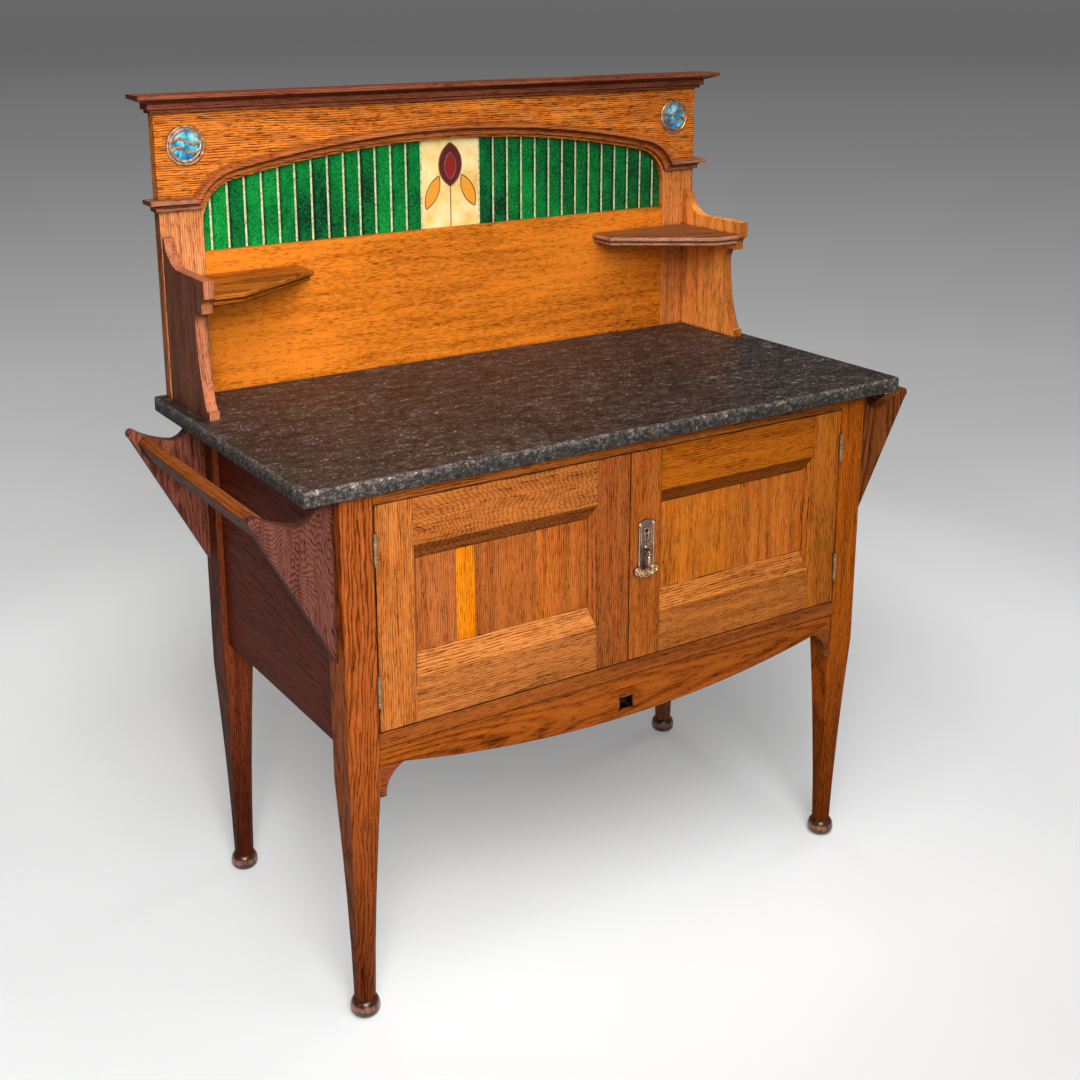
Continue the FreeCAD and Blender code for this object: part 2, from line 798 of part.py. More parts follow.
def build_straps():
    """Stepped posts fixed to the back legs, which pass through the stone's notches up the splashback."""
    x = leg_in_x + (leg_w - strap_w) / 2
    upper = box(x, x + strap_w, splash_back, stone_back, carcass_top, worktop_h + strap_above)
    lower = box(x, x + strap_w, carcass_back, stone_back, carcass_top - strap_below, carcass_top)
    post = fuse(upper, lower)
    save("splash_posts", post, mirror_x(post))


# Towel brackets and rails


def rail_section(grow):
    """The corners of the leaning rail, set in from the bracket's sloping edge."""
    run = towel_reach * towel_heel_reach_share
    rise = towel_h - towel_heel_drop
    length = math.hypot(run, rise)
    along = Vector(run / length, 0, rise / length)
    inward = Vector(-along.z, 0, along.x)
    top_share = (towel_h - rail_drop) / rise
    corner = Vector(leg_out_x + run * top_share, 0, carcass_top - rail_drop) + inward * rail_edge_gap
    a = corner + along * grow - inward * grow
    b = corner + along * grow + inward * (rail_t + grow)
    c = b - along * (rail_w + 2 * grow)
    d = a - along * (rail_w + 2 * grow)
    return [(p.x, p.z) for p in (a, b, c, d)]


def towel_plate(y0, y1, house_y0, house_y1):
    at = lambda reach, drop: (leg_out_x + reach, carcass_top - drop)
    dip = at(towel_reach * towel_dip_x_share, towel_dip_drop)
    neck_mid = at(towel_neck + (towel_reach * towel_dip_x_share - towel_neck) / 4, towel_dip_drop * 5 / 7)
    tip = at(towel_reach * towel_tip_reach_share, towel_tip_drop)
    sweep = at(towel_reach * (towel_dip_x_share + towel_tip_reach_share) / 2, towel_tip_drop
               + (towel_dip_drop - towel_tip_drop) * 2 / 3)
    point = at(towel_reach, (towel_tip_drop + towel_heel_drop) * 2 / 5)
    heel = at(towel_reach * towel_heel_reach_share, towel_heel_drop)
    plate = prism_y(at(0, 0), [(at(towel_neck, 0),), (neck_mid, dip), (sweep, tip), (point, heel),
                               (at(0, towel_h),)], y0, y1)
    corners = rail_section(fit)
    return plate.cut(prism_y(corners[0], lines(corners), house_y0, house_y1))


def build_towel_rails():
    front = carcass_front + towel_front_setback
    back = carcass_back - towel_t
    rail_y0 = front + towel_t - rail_house
    rail_y1 = back + rail_house
    plates = {"front": towel_plate(front, front + towel_t, rail_y0 - fit, front + towel_t + overrun),
              "back": towel_plate(back, carcass_back, back - overrun, rail_y1 + fit)}
    for name, plate in plates.items():
        save("towel_bracket_" + name + "_right", plate)
        save("towel_bracket_" + name + "_left", mirror_x(plate))
    corners = rail_section(0)
    bar = prism_y(corners[0], lines(corners), rail_y0, rail_y1)
    long_edges = [e for e in bar.Edges if near(e.Length, rail_y1 - rail_y0)]
    bar = bar.makeFillet(rail_arris, long_edges)
    save("towel_rail_right", bar)
    save("towel_rail_left", mirror_x(bar))


# Doors


def door_members():
    """The right door's frame and panel: wide bevels mitred at the corners, worked on the stiles and rails."""
    xa, xb = door_in_x + stile_w, door_out_x - stile_w
    za, zb = door_low + door_rail_h, door_top - door_rail_h
    xc, xd = xa + bevel_side, xb - bevel_side
    zc, zd = za + bevel_bottom, zb - bevel_top
    front, deep = carcass_front, carcass_front + bevel_depth
    shapes = {
        "meeting_stile": [(door_in_x, door_low), (xa, door_low), (xa, za), (xc, zc), (xc, zd), (xa, zb),
                          (xa, door_top), (door_in_x, door_top)],
        "hinge_stile": [(door_out_x, door_low), (xb, door_low), (xb, za), (xd, zc), (xd, zd), (xb, zb),
                        (xb, door_top), (door_out_x, door_top)],
        "top_rail": [(xa, door_top), (xa, zb), (xc, zd), (xd, zd), (xb, zb), (xb, door_top)],
        "bottom_rail": [(xa, door_low), (xa, za), (xc, zc), (xd, zc), (xb, za), (xb, door_low)],
    }
    mouth = [(xa, za), (xb, za), (xb, zb), (xa, zb)]
    throat = [(xc, zc), (xd, zc), (xd, zd), (xc, zd)]
    mouth_wire = outline(mouth[0], lines(mouth), lambda x, z: Vector(x, front, z))
    throat_wire = outline(throat[0], lines(throat), lambda x, z: Vector(x, deep, z))
    bevels = Part.makeLoft([mouth_wire, throat_wire], True, True)
    panel_at = lambda grow: box(xc - tongue - grow, xd + tongue + grow, deep - grow, deep + panel_t + grow,
                                zc - tongue - grow, zd + tongue + grow)
    members = {name: prism_y(points[0], lines(points), front, door_back).cut([bevels, panel_at(fit)])
               for name, points in shapes.items()}
    members["panel"] = panel_at(0)
    ty = front + door_tenon_depth
    for name, z0, z1 in (("top_rail", zb, door_top), ("bottom_rail", door_low, za)):
        tenon = lambda grow: box(xa - stile_w / 2 - grow, xb + stile_w / 2 + grow, ty - grow, ty + door_tenon_t + grow,
                                 z0 + door_tenon_inset - grow, z1 - door_tenon_inset + grow)
        members[name] = fuse(members[name], tenon(0))
        for stile in ("meeting_stile", "hinge_stile"):
            members[stile] = members[stile].cut(tenon(fit))
    return members


def keyhole(y0, y1):
    round_part = Part.makeCylinder(keyhole_r, y1 - y0, Vector(door_mid_x, y0, keyhole_z), Vector(0, 1, 0))
    slot = box(door_mid_x - keyhole_slot_w / 2, door_mid_x + keyhole_slot_w / 2, y0, y1,
               keyhole_z - keyhole_slot_h, keyhole_z)
    return round_part.fuse(slot)


def build_doors():
    members = door_members()
    housings = [hinge_housing(z) for z in hinge_centres()]
    members["hinge_stile"] = members["hinge_stile"].cut(housings)
    for name, shape in members.items():
        save("left_door_" + name, mirror_x(shape))
        if name == "meeting_stile":
            shape = shape.cut(keyhole(carcass_front - overrun, door_back + overrun))
        save("right_door_" + name, shape)


def build_hinges():
    leg_leaves = []
    door_leaves = []
    for z in hinge_centres():
        low = z - hinge_h / 2
        cuts = [low + share * hinge_h for share in knuckle_shares]
        barrel = lambda r, z0, z1: Part.makeCylinder(r, z1 - z0, Vector(hinge_x, hinge_y, z0))
        outer = [(cuts[0], cuts[1]), (cuts[2], cuts[3])]
        middle = (cuts[1] + running_gap, cuts[2] - running_gap)
        leaf_y = (hinge_y + pin_r, carcass_front + leaf_w)
        on_leg = box(leg_in_x - leaf_t / 2, leg_in_x + leaf_t / 2, *leaf_y, low, low + hinge_h)
        notch_y = hinge_y + knuckle_r + running_gap
        notch = lambda z0, z1: box(door_out_x - leaf_t, leg_in_x + leaf_t, hinge_y, notch_y, z0, z1)
        on_leg = on_leg.cut(notch(cuts[1], cuts[2]))
        knuckles = [barrel(knuckle_r, *span) for span in outer]
        on_leg = fuse(on_leg, *knuckles, barrel(pin_r, low, low + hinge_h))
        on_door = box(door_out_x - leaf_t / 2, door_out_x + leaf_t / 2, *leaf_y, low, low + hinge_h)
        on_door = on_door.cut([notch(low, middle[0]), notch(middle[1], low + hinge_h)])
        on_door = fuse(on_door, barrel(knuckle_r, *middle)).cut(barrel(pin_r + pin_fit, low, low + hinge_h))
        leg_leaves += [on_leg, mirror_x(on_leg)]
        door_leaves.append(on_door)
    save("hinge_leaves_on_legs", *leg_leaves)
    save("right_door_hinge_leaves", *door_leaves)
    save("left_door_hinge_leaves", *[mirror_x(leaf) for leaf in door_leaves])


# Handle, lock and bolt


def build_handle():
    half = plate_w / 2
    face = carcass_front - plate_t
    shoulder_h = plate_top - plate_arch
    arch = ((door_mid_x, plate_top), (door_mid_x - half, shoulder_h))
    plate = prism_y((door_mid_x - half, plate_low), [((door_mid_x + half, plate_low),),
                                                     ((door_mid_x + half, shoulder_h),), arch], face, carcass_front)
    hood = prism_y((door_mid_x - half, shoulder_h - plate_hood_w),
                   [((door_mid_x, plate_top - plate_hood_w), (door_mid_x + half, shoulder_h - plate_hood_w)),
                    ((door_mid_x + half, shoulder_h),), arch], face - plate_hood, carcass_front)
    lobes = []
    for n in range(lobe_count):
        share = 2 * n / (lobe_count - 1) - 1
        z = plate_low - lobe_drop * math.sqrt(1 - share ** 2 * 3 / 4) + lobe_drop / 2
        centre = Vector(door_mid_x + lobe_spread * share, carcass_front, z)
        lobes.append(Part.makeCylinder(lobe_r, lobe_t, centre, Vector(0, -1, 0)))
    lugs = []
    for x in (door_mid_x - pull_eye_w / 2 - running_gap - lug_w, door_mid_x + pull_eye_w / 2 + running_gap):
        eye = Part.makeCylinder(lug_r, lug_w, Vector(x, pull_y, pull_z), Vector(1, 0, 0))
        stem = box(x, x + lug_w, pull_y, carcass_front, pull_z - lug_r, pull_z + lug_r)
        lugs += [eye, stem]
    pin_x = door_mid_x - pull_eye_w / 2 - running_gap - lug_w
    pin_l = pull_eye_w + 2 * running_gap + 2 * lug_w
    pin = Part.makeCylinder(pull_pin_r, pin_l, Vector(pin_x, pull_y, pull_z), Vector(1, 0, 0))
    plate = fuse(plate, hood, *lobes, *lugs, pin)
    save("handle_backplate", plate.cut(keyhole(face - plate_hood - overrun, carcass_front + overrun)))
    place = lambda r, drop: Vector(door_mid_x + r, pull_y, pull_z - drop)
    points = [(r_share * pull_r, share * pull_l) for share, r_share in pull_profile_shares]
    first, last = points[0], points[-1]
    profile = outline((0, first[1]), lines([first] + points) + [((0, last[1]),)], place)
    body = Part.Face(profile).revolve(place(0, 0), Vector(0, 0, 1), 360)
    eye = Part.makeCylinder(pull_eye_r, pull_eye_w, place(-pull_eye_w / 2, 0), Vector(1, 0, 0))
    stem_half = first[0] / math.sqrt(2)
    stem = box(door_mid_x - stem_half, door_mid_x + stem_half, pull_y - stem_half, pull_y + stem_half,
               pull_z - first[1], pull_z)
    hole_start = place(-pull_eye_w / 2 - overrun, 0)
    hole = Part.makeCylinder(pull_pin_r + pin_fit, pull_eye_w + 2 * overrun, hole_start, Vector(1, 0, 0))
    save("drop_pull", fuse(body, eye, stem).cut(hole))


def build_lock():
    x0 = door_in_x + lock_inset
    z0 = keyhole_z - lock_h + lock_rise
    case = box(x0, x0 + lock_w, door_back, door_back + lock_t, z0, z0 + lock_h)
    bolt_low = keyhole_z - keyhole_slot_h - lock_bolt_h
    bolt_y0 = door_back + (lock_t - lock_bolt_t) / 2
    bolt = lambda grow: box(x0 - grow, x0 + lock_bolt_l + grow, bolt_y0 - grow, bolt_y0 + lock_bolt_t + grow,
                            bolt_low - grow, bolt_low + lock_bolt_h + grow)
    case = case.cut(bolt(running_gap))
    save("lock_case", case.cut(keyhole(door_back - overrun, door_back + lock_t / 3)))
    save("lock_bolt", bolt(0))


def build_left_bolt():
    x = -door_mid_x
    top = door_top - bolt_plate_drop
    low = top - bolt_plate_h
    plate = box(x - bolt_plate_w / 2, x + bolt_plate_w / 2, door_back, door_back + bolt_plate_t, low, top)
    staple = lambda z: box(x - staple_w / 2, x + staple_w / 2, door_back, bolt_y + bolt_stand + bolt_plate_t,
                           z, z + staple_h)
    guide = fuse(plate, staple(low + staple_h), staple(top - 2 * staple_h))
    hole = Part.makeCylinder(bolt_r + 2 * pin_fit, door_top - low, Vector(x, bolt_y, low))
    save("left_door_bolt_plate", guide.cut(hole))
    rod = Part.makeCylinder(bolt_r, bolt_l, Vector(x, bolt_y, door_top - bolt_l))
    knob_z = low + 2 * staple_h + (bolt_plate_h - 4 * staple_h - bolt_travel) * bolt_knob_share
    knob = Part.makeCylinder(bolt_knob_r, bolt_knob_l, Vector(x, bolt_y, knob_z), Vector(0, 1, 0))
    save("left_door_bolt", fuse(rod, knob))


os.makedirs("parts", exist_ok=True)
build_legs()
build_sides()
build_front_rails()
build_apron()
build_back()
build_inside()
build_stone()
build_splash_frame()
build_tiles()
build_arch()
build_cornice()
build_roundels()
build_brackets()
build_shelves()
build_straps()
build_towel_rails()
build_doors()
build_hinges()
build_handle()
build_lock()
build_left_bolt()
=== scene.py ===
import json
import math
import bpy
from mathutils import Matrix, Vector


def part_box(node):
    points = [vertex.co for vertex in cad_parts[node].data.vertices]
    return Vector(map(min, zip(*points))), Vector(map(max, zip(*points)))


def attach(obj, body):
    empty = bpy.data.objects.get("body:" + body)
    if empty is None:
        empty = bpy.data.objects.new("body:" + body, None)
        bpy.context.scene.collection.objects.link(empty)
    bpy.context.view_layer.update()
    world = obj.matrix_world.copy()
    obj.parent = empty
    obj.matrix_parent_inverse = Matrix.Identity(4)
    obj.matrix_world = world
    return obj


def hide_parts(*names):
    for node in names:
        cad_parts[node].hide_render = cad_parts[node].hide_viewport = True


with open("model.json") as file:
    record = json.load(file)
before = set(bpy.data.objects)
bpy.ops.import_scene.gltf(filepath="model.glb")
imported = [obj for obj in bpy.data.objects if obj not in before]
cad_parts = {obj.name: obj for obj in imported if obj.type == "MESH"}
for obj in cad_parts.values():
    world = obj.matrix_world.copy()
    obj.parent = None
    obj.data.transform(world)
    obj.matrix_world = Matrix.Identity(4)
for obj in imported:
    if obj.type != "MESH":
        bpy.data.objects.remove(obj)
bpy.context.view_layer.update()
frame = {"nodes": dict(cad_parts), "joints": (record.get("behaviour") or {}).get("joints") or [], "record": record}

# %% [markdown]
# # A washstand in oak, stone and glazed tile
# The packed model is loaded first, and every board, hinge and tile of it is already in place, in metres.

# %% The frame
from types import SimpleNamespace
import bmesh
import bpy
from mathutils import Matrix, Vector

nodes = frame["nodes"]

# %% [markdown]
# ## The camera
# A washstand like this is photographed from a standing person's eye, to the left of the front. The camera
# is turned 32.6 degrees and looks 15 degrees down. Its frame is shifted instead of tilted further, as
# with a view camera, so that the legs keep their nearly upright lines.

# %% Camera
turn, down, roll = math.radians(32.64), math.radians(15.23), math.radians(0.18)
lens_mm, film_mm = 50.07, 36
frame_shift = (0.0158, -0.133)
eye_place = (-1.194, -1.8314, 1.358)
ahead = Vector((math.sin(turn) * math.cos(down), math.cos(turn) * math.cos(down), -math.sin(down)))
level = Vector((math.cos(turn), -math.sin(turn), 0))
below = ahead.cross(level)
right = level * math.cos(roll) + below * math.sin(roll)
up = level * math.sin(roll) - below * math.cos(roll)
camera_data = bpy.data.cameras.new("eye")
camera_data.lens = lens_mm
camera_data.sensor_width = film_mm
camera_data.sensor_fit = "HORIZONTAL"
camera_data.shift_x, camera_data.shift_y = frame_shift
camera = bpy.data.objects.new("eye", camera_data)
camera.matrix_world = Matrix((right, up, -ahead)).transposed().to_4x4()
camera.location = eye_place
bpy.context.scene.collection.objects.link(camera)
bpy.context.scene.camera = camera
bpy.context.scene.view_settings.view_transform = "Standard"
print("camera stands at", [round(v, 2) for v in camera.location])

# %% [markdown]
# ## Shader sums
# A material is a net of small nodes. Written out one by one they hide the idea, so one small class wraps
# a socket: a sum such as 1 - mask adds its own Math node, and `make` adds any other node.

# %% A socket that takes part in sums
class Paint:
    """One socket of a material, or just its tree. Sums on it add Math nodes."""

    def __init__(self, tree, socket=None):
        self.tree = tree
        self.socket = socket

    def make(self, kind, settings=None, inputs=None, out=0):
        """Adds a node: its settings first, then the values or links of its sockets."""
        node = self.tree.nodes.new("ShaderNode" + kind)
        for key, value in (settings or {}).items():
            if key == "stops":
                stops = node.color_ramp.elements
                while len(stops) < len(value):
                    stops.new(0.5)
                for stop, (place, colour) in zip(stops, value):
                    stop.position = place
                    stop.color = (*colour, 1)
            else:
                setattr(node, key, value)
        for key, value in (inputs or {}).items():
            if isinstance(value, Paint):
                self.tree.links.new(value.socket, node.inputs[key])
            else:
                node.inputs[key].default_value = value
        return Paint(self.tree, node.outputs[out] if node.outputs else None)

    def math(self, operation, other=0.0, swap=False):
        pair = (other, self) if swap else (self, other)
        return self.make("Math", {"operation": operation}, dict(enumerate(pair)))

    def __add__(self, other):
        return self.math("ADD", other)

    def __radd__(self, other):
        return self.math("ADD", other, True)

    def __sub__(self, other):
        return self.math("SUBTRACT", other)

    def __rsub__(self, other):
        return self.math("SUBTRACT", other, True)

    def __mul__(self, other):
        return self.math("MULTIPLY", other)

    def __rmul__(self, other):
        return self.math("MULTIPLY", other, True)

    def __truediv__(self, other):
        return self.math("DIVIDE", other)

    def __pow__(self, other):
        return self.math("POWER", other)


print("socket class:", Paint.__doc__)

# %% [markdown]
# ### Words for materials
# A few short helpers say what a finish needs: a colour as a screen shows it, a soft step, a cloud of
# noise, a mask of how near to an arris a point is. The finishes below then read like a recipe.

# %% Colours, steps and clouds
def linear(red, green, blue):
    """A screen colour of 0 to 255 as the light it stands for."""
    shares = [v / 255 for v in (red, green, blue)]
    return tuple(v / 12.92 if v < 0.0404 else ((v + 0.055) / 1.055) ** 2.4 for v in shares)


def new_finish(name):
    material = bpy.data.materials.new(name)
    material.use_nodes = True
    material.node_tree.nodes.clear()
    return material, Paint(material.node_tree)


def close_finish(paint, **sockets):
    """Ends a material in one Principled shader. Names use _ for a space."""
    named = {key.replace("_", " "): value for key, value in sockets.items()}
    paint.make("OutputMaterial", {}, {"Surface": paint.make("BsdfPrincipled", {}, named)})


def mix(paint, share, first, second, way="MIX"):
    first, second = [c if isinstance(c, Paint) else (*c, 1) for c in (first, second)]
    return paint.make("Mix", {"data_type": "RGBA", "blend_type": way}, {0: share, 6: first, 7: second}, 2)


def tinted(paint, share, colour, factor):
    """The colour, multiplied by a factor where share is 1."""
    return mix(paint, share, colour, mix(paint, 1.0, colour, factor, "MULTIPLY"))


def ramp(paint, value, stops):
    """A colour that runs through stops of (place, colour) as the value goes from 0 to 1."""
    return paint.make("ValToRGB", {"stops": stops}, {"Fac": value})


def step(paint, value, start, end):
    """0 below start, 1 above end, smooth between."""
    return paint.make("MapRange", {"interpolation_type": "SMOOTHSTEP"}, {"Value": value, 1: start, 2: end})


def moved(paint, place, scale=(1, 1, 1), shift=(0, 0, 0)):
    return paint.make("Mapping", {}, {"Vector": place, "Scale": scale, "Location": shift})


def cloud(paint, place, scale, detail=2.0, rough=0.5, out="Fac"):
    inputs = {"Vector": place, "Scale": scale, "Detail": detail, "Roughness": rough}
    return paint.make("TexNoise", {}, inputs, out)


def cells(paint, place, scale):
    """How far a point is from the middle of its cell, among cells scattered at random."""
    return paint.make("TexVoronoi", {}, {"Vector": place, "Scale": scale}, "Distance")


def vector(paint, operation, first, second=None, out="Vector"):
    inputs = {0: first} if second is None else {0: first, 1: second}
    return paint.make("VectorMath", {"operation": operation}, inputs, out)


print("middle grey as light:", round(linear(128, 128, 128)[0], 3))

# %% [markdown]
# ### Places, faces and edges
# Every pattern is laid out on the piece's own coordinates, in metres, so it stays put when the piece
# moves. Old work is lighter on a rubbed arris and darker on faces that light or hands don't reach, so a
# finish has to know which way a face looks and how near an edge is.

# %% Places, faces and edges
def own_place(paint):
    return paint.make("TexCoord", out="Object")


def along(paint, place, axis):
    """One coordinate of a place: X, Y or Z."""
    return paint.make("SeparateXYZ", {}, {0: place}, "XYZ".index(axis))


def facing(paint, axis):
    """How far a face looks along an axis: 1 is straight along it, -1 straight against it."""
    return along(paint, paint.make("NewGeometry", {}, {}, "True Normal"), axis)


def worn_edge(paint, width):
    """A normal that rounds the arris, and a mask of how near to an arris a point is."""
    rounded = paint.make("Bevel", {"samples": 4}, {"Radius": width})
    flat = paint.make("NewGeometry", {}, {}, "True Normal")
    return rounded, 1 - vector(paint, "DOT_PRODUCT", rounded, flat, "Value")


def bumped(paint, height, strength, depth, normal=None):
    """A normal that follows height, where a height of 1 is depth metres."""
    inputs = {"Strength": strength, "Distance": depth, "Height": height}
    if normal:
        inputs["Normal"] = normal
    return paint.make("Bump", {}, inputs)


def dress(name, material):
    """Gives a piece of the frame its finish."""
    slots = nodes[name].data.materials
    slots.clear()
    slots.append(material)


print("finishes wait for", len(nodes), "pieces")

# %% [markdown]
# ## Floor
# The studio is one wide pale floor that fades to grey far behind, where a paper roll would curve up. A flat floor
# looks the same from every side. Its grey is painted light and shade that change with distance: a painted pool of
# light in front of the stand, where the lamps point, and a painted shadow behind it. To the camera and in
# reflections the paper has a painted glow that stands for light falling on it. For all other light it is a dull
# grey, so the stand gets little light from below.

# %% Floor
floor_radius, floor_sides = 80, 96
floor_mesh = bmesh.new()
bmesh.ops.create_circle(floor_mesh, cap_ends=True, segments=floor_sides, radius=floor_radius)
floor_data = bpy.data.meshes.new("studio_floor")
floor_mesh.to_mesh(floor_data)
floor_mesh.free()
floor = bpy.data.objects.new("studio_floor", floor_data)
bpy.context.scene.collection.objects.link(floor)
print("floor reaches", floor_data.vertices[0].co.length, "m")

# %% Studio paper
lit_spot, stand_spot, floor_shadow_spot = (-0.35, -0.6, 0.0), (0.0, 0.0, 0.0), (0.5, 0.6, 0.0)
wide_log = dict(start=-0.3, span=1.9)
near_log = dict(start=-0.5, span=1.2)
bounce_grey = (0.3, 0.3, 0.3, 1)
matt = {"Roughness": 0.9, "Specular IOR Level": 0.0}
floor_finish, paint = new_finish("studio_paper")
ground = own_place(paint)


def grey_rings(spot, start, span, greys):
    """A grey by the distance from a spot, on a log scale, because the floor reaches far."""
    distance = vector(paint, "DISTANCE", ground, spot, "Value").math("LOGARITHM", 10.0)
    return ramp(paint, (distance - start) / span, [(at, (grey,) * 3) for at, grey in greys])


# painted light: the paper's grey by distance from the spot where the lamps point
paper = grey_rings(lit_spot, greys=[
    (0.0, 0.90), (0.13, 0.93), (0.30, 0.97), (0.46, 0.80), (0.66, 0.71), (1.0, 0.58)], **wide_log)
# painted light: a glow by distance from the stand, seen only by the camera and in reflections
glow = grey_rings(stand_spot, greys=[
    (0.0, 0.19), (0.14, 0.12), (0.24, 0.20), (0.34, 0.20), (0.46, 0.195), (0.55, 0.17), (0.72, 0.11),
    (0.95, 0.062)], **wide_log)
# painted shadow: the floor is darker round a spot behind the stand, as the stand's soft shadow
painted_floor_shadow = grey_rings(floor_shadow_spot, greys=[
    (0.03, 0.69), (0.13, 0.70), (0.21, 0.73), (0.29, 0.79), (0.375, 0.89), (0.46, 0.91), (0.54, 0.85),
    (0.63, 0.90), (0.80, 0.955)], **near_log)
lit = paint.make("BsdfPrincipled", {}, {
    "Base Color": mix(paint, 1.0, paper, painted_floor_shadow, "MULTIPLY"),
    "Emission Color": mix(paint, 1.0, glow, painted_floor_shadow, "MULTIPLY"), "Emission Strength": 1.0, **matt})
unlit = paint.make("BsdfPrincipled", {}, {"Base Color": bounce_grey, **matt})
shown = paint.make("LightPath", out="Is Camera Ray") + paint.make("LightPath", out="Is Glossy Ray")
paint.make("OutputMaterial", {}, {"Surface": paint.make("MixShader", {}, {0: shown, 1: unlit, 2: lit})})
floor_data.materials.append(floor_finish)
print("studio paper has", len(floor_finish.node_tree.nodes), "nodes")

# %% [markdown]
# ## Light
# A large soft box stands high on the left, in front, and makes the soft shadows under the shelves. A
# narrow one lower down at the left lights that end a little more, so the light falls off to the right. A
# third one hangs above for the stone. Two weak lamps, behind and at the right, only keep those sides from
# going black, and stay out of reflections.

# %% Light
def softbox(name, place, target, size, power, spread=180, shine=True):
    """A square lamp that looks at a target: size in metres, power in watts, spread in degrees."""
    lamp = bpy.data.lights.new(name, "AREA")
    lamp.shape = "SQUARE"
    lamp.size = size
    lamp.energy = power
    lamp.spread = math.radians(spread)
    box = bpy.data.objects.new(name, lamp)
    box.location = place
    box.rotation_euler = (Vector(target) - Vector(place)).to_track_quat("-Z", "Y").to_euler()
    box.visible_glossy = shine
    bpy.context.scene.collection.objects.link(box)


weak = dict(size=1.2, power=3.2, spread=40, shine=False)
softbox("key_softbox", (-1.15, -2.35, 2.75), target=(0, 0.1, 0.8), size=1.7, power=86)
softbox("left_front_softbox", (-1.3, -2.2, 1.6), target=(-0.75, 0.2, 0.9), size=0.9, power=6.5, spread=60)
softbox("top_softbox", (0.1, -0.9, 3.4), target=(0, 0, 0.5), size=1.6, power=36)
softbox("back_fill", (0.5, 3.4, 1.0), target=(0, 0.2, 0.75), **weak)
softbox("right_fill", (3.6, 0.5, 0.8), target=(0.4, 0, 0.6), **weak)

# %% Room
room_light, room_seen = (0.13,) * 3, (0.135,) * 3
world = bpy.data.worlds.new("studio")
world.use_nodes = True
world.node_tree.nodes.clear()
air = Paint(world.node_tree)
room = mix(air, air.make("LightPath", out="Is Camera Ray"), room_light, room_seen)
air.make("OutputWorld", {}, {"Surface": air.make("Background", {}, {"Color": room})})
bpy.context.scene.world = world
print("room light", room_light[0])

# %% [markdown]
# ## Oak
# Oak shows three things at once: growth rings, dark open pores that run as short dashes along the grain,
# and broad changes of tone from the stain. A wave texture alone gives stripes that look printed. Here the
# rings are real rings round a pith line, so a board cut flat shows arches and one cut on the quarter
# shows lines.

# %% How a board is cut
grain_line = {"X": Vector((1, 0, 0)), "Y": Vector((0, 1, 0)), "Z": Vector((0, 0, 1))}
seeds = iter(range(1, 200))
plain_cut = dict(
    # the pith line: along the grain plus lean, reach metres to the side, or behind the face for a flat cut
    flat=False, lean=(0, 0, 0), reach=0.6, ring=0.0034, warp=0.006,
    # how strongly rings, pores and patches show, how far dashes are drawn out and break the rings
    lines=0.7, pores=0.55, patches=0.3, dash_share=0.08, broken=1.0,
    # where boards glued side by side begin, and their tones
    boards=(),
    # factors for faces that look outwards, up (painted shade), forward (painted shade), or lean upwards (painted
    # highlight), and for the lower end of a leg
    ends=None, top=None, front=None, sill=None, foot=None,
    # half the width of a small window painted black inside as shade, a painted shadow line along an upper edge,
    # backs without stain
    pit=None, crest=False, bare_back=False)
print("settings of a cut:", len(plain_cut))

# %% Rings
def drawn_out(paint, place, grain, share):
    """Space pressed together along the grain, so that round noise becomes streaks."""
    return moved(paint, place, tuple(1 + (share - 1) * v for v in grain_line[grain]))


def spring_wood(paint, name, grain, place, board, cut):
    """A mask of the open, dark part of each growth ring round the pith line."""
    sway = cloud(paint, drawn_out(paint, board, grain, 0.2), scale=22.0, detail=3.0, rough=0.55, out="Color")
    wander = vector(paint, "SUBTRACT", sway, (0.5, 0.5, 0.5))
    wander = vector(paint, "MULTIPLY", wander, (2 * cut.warp,) * 3)
    line = (grain_line[grain] + Vector(cut.lean)).normalized()
    behind = grain_line["X" if grain == "Y" else "Y"]
    beside = grain_line["X" if grain == "Z" else "Z"]
    low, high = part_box(name)
    pith = (low + high) / 2 + (behind if cut.flat else beside) * cut.reach
    off = vector(paint, "SUBTRACT", vector(paint, "ADD", place, wander), tuple(pith))
    round_pith = vector(paint, "LENGTH", vector(paint, "CROSS_PRODUCT", off, tuple(line)), out="Value")
    uneven = cloud(paint, drawn_out(paint, board, grain, 0.1), scale=30.0, detail=2.0)
    part = (round_pith / cut.ring + 1.2 * uneven).math("FRACT")
    return step(paint, part, 0.35, 0.72) - step(paint, part, 0.80, 1.0)


print("grain runs along", list(grain_line))

# %% Pores and figure
figure_middle = 0.58
figure_stops = [(0.0, (0.10, 0.07, 0.05)), (0.30, (0.30, 0.25, 0.20)), (0.62, (figure_middle,) * 3),
                (1.0, (0.90, 0.96, 1.0))]


def oak_figure(paint, grain, board, early, cut):
    """The figure as a grey that multiplies the stain, the dashes of the pores, and broad patches."""
    streak = cloud(paint, drawn_out(paint, board, grain, cut.dash_share), scale=430.0, detail=3.0, rough=0.6)
    dash = step(paint, streak, 0.50, 0.60)
    speckle = cloud(paint, drawn_out(paint, board, grain, 0.13), scale=560.0, detail=2.0, rough=0.6)
    fleck = step(paint, speckle, 0.55, 0.63)
    broad = cloud(paint, drawn_out(paint, board, grain, 0.3), scale=9.0, detail=4.0, rough=0.6)
    sheen = cloud(paint, drawn_out(paint, board, grain, 0.06), scale=85.0, detail=3.0, rough=0.6)
    ring_dark = cut.lines * early * (1.0 - 0.75 * cut.broken + 1.1 * cut.broken * dash)
    dark = ring_dark + cut.pores * (0.6 * fleck + 0.4 * dash)
    shade = 0.89 + 2.3 * (streak - 0.5) + 1.15 * (sheen - 0.5) + cut.patches * (broad - 0.5) - 0.9 * dark
    return ramp(paint, shade, figure_stops), dash, broad


print("stops of the oak figure:", len(figure_stops))
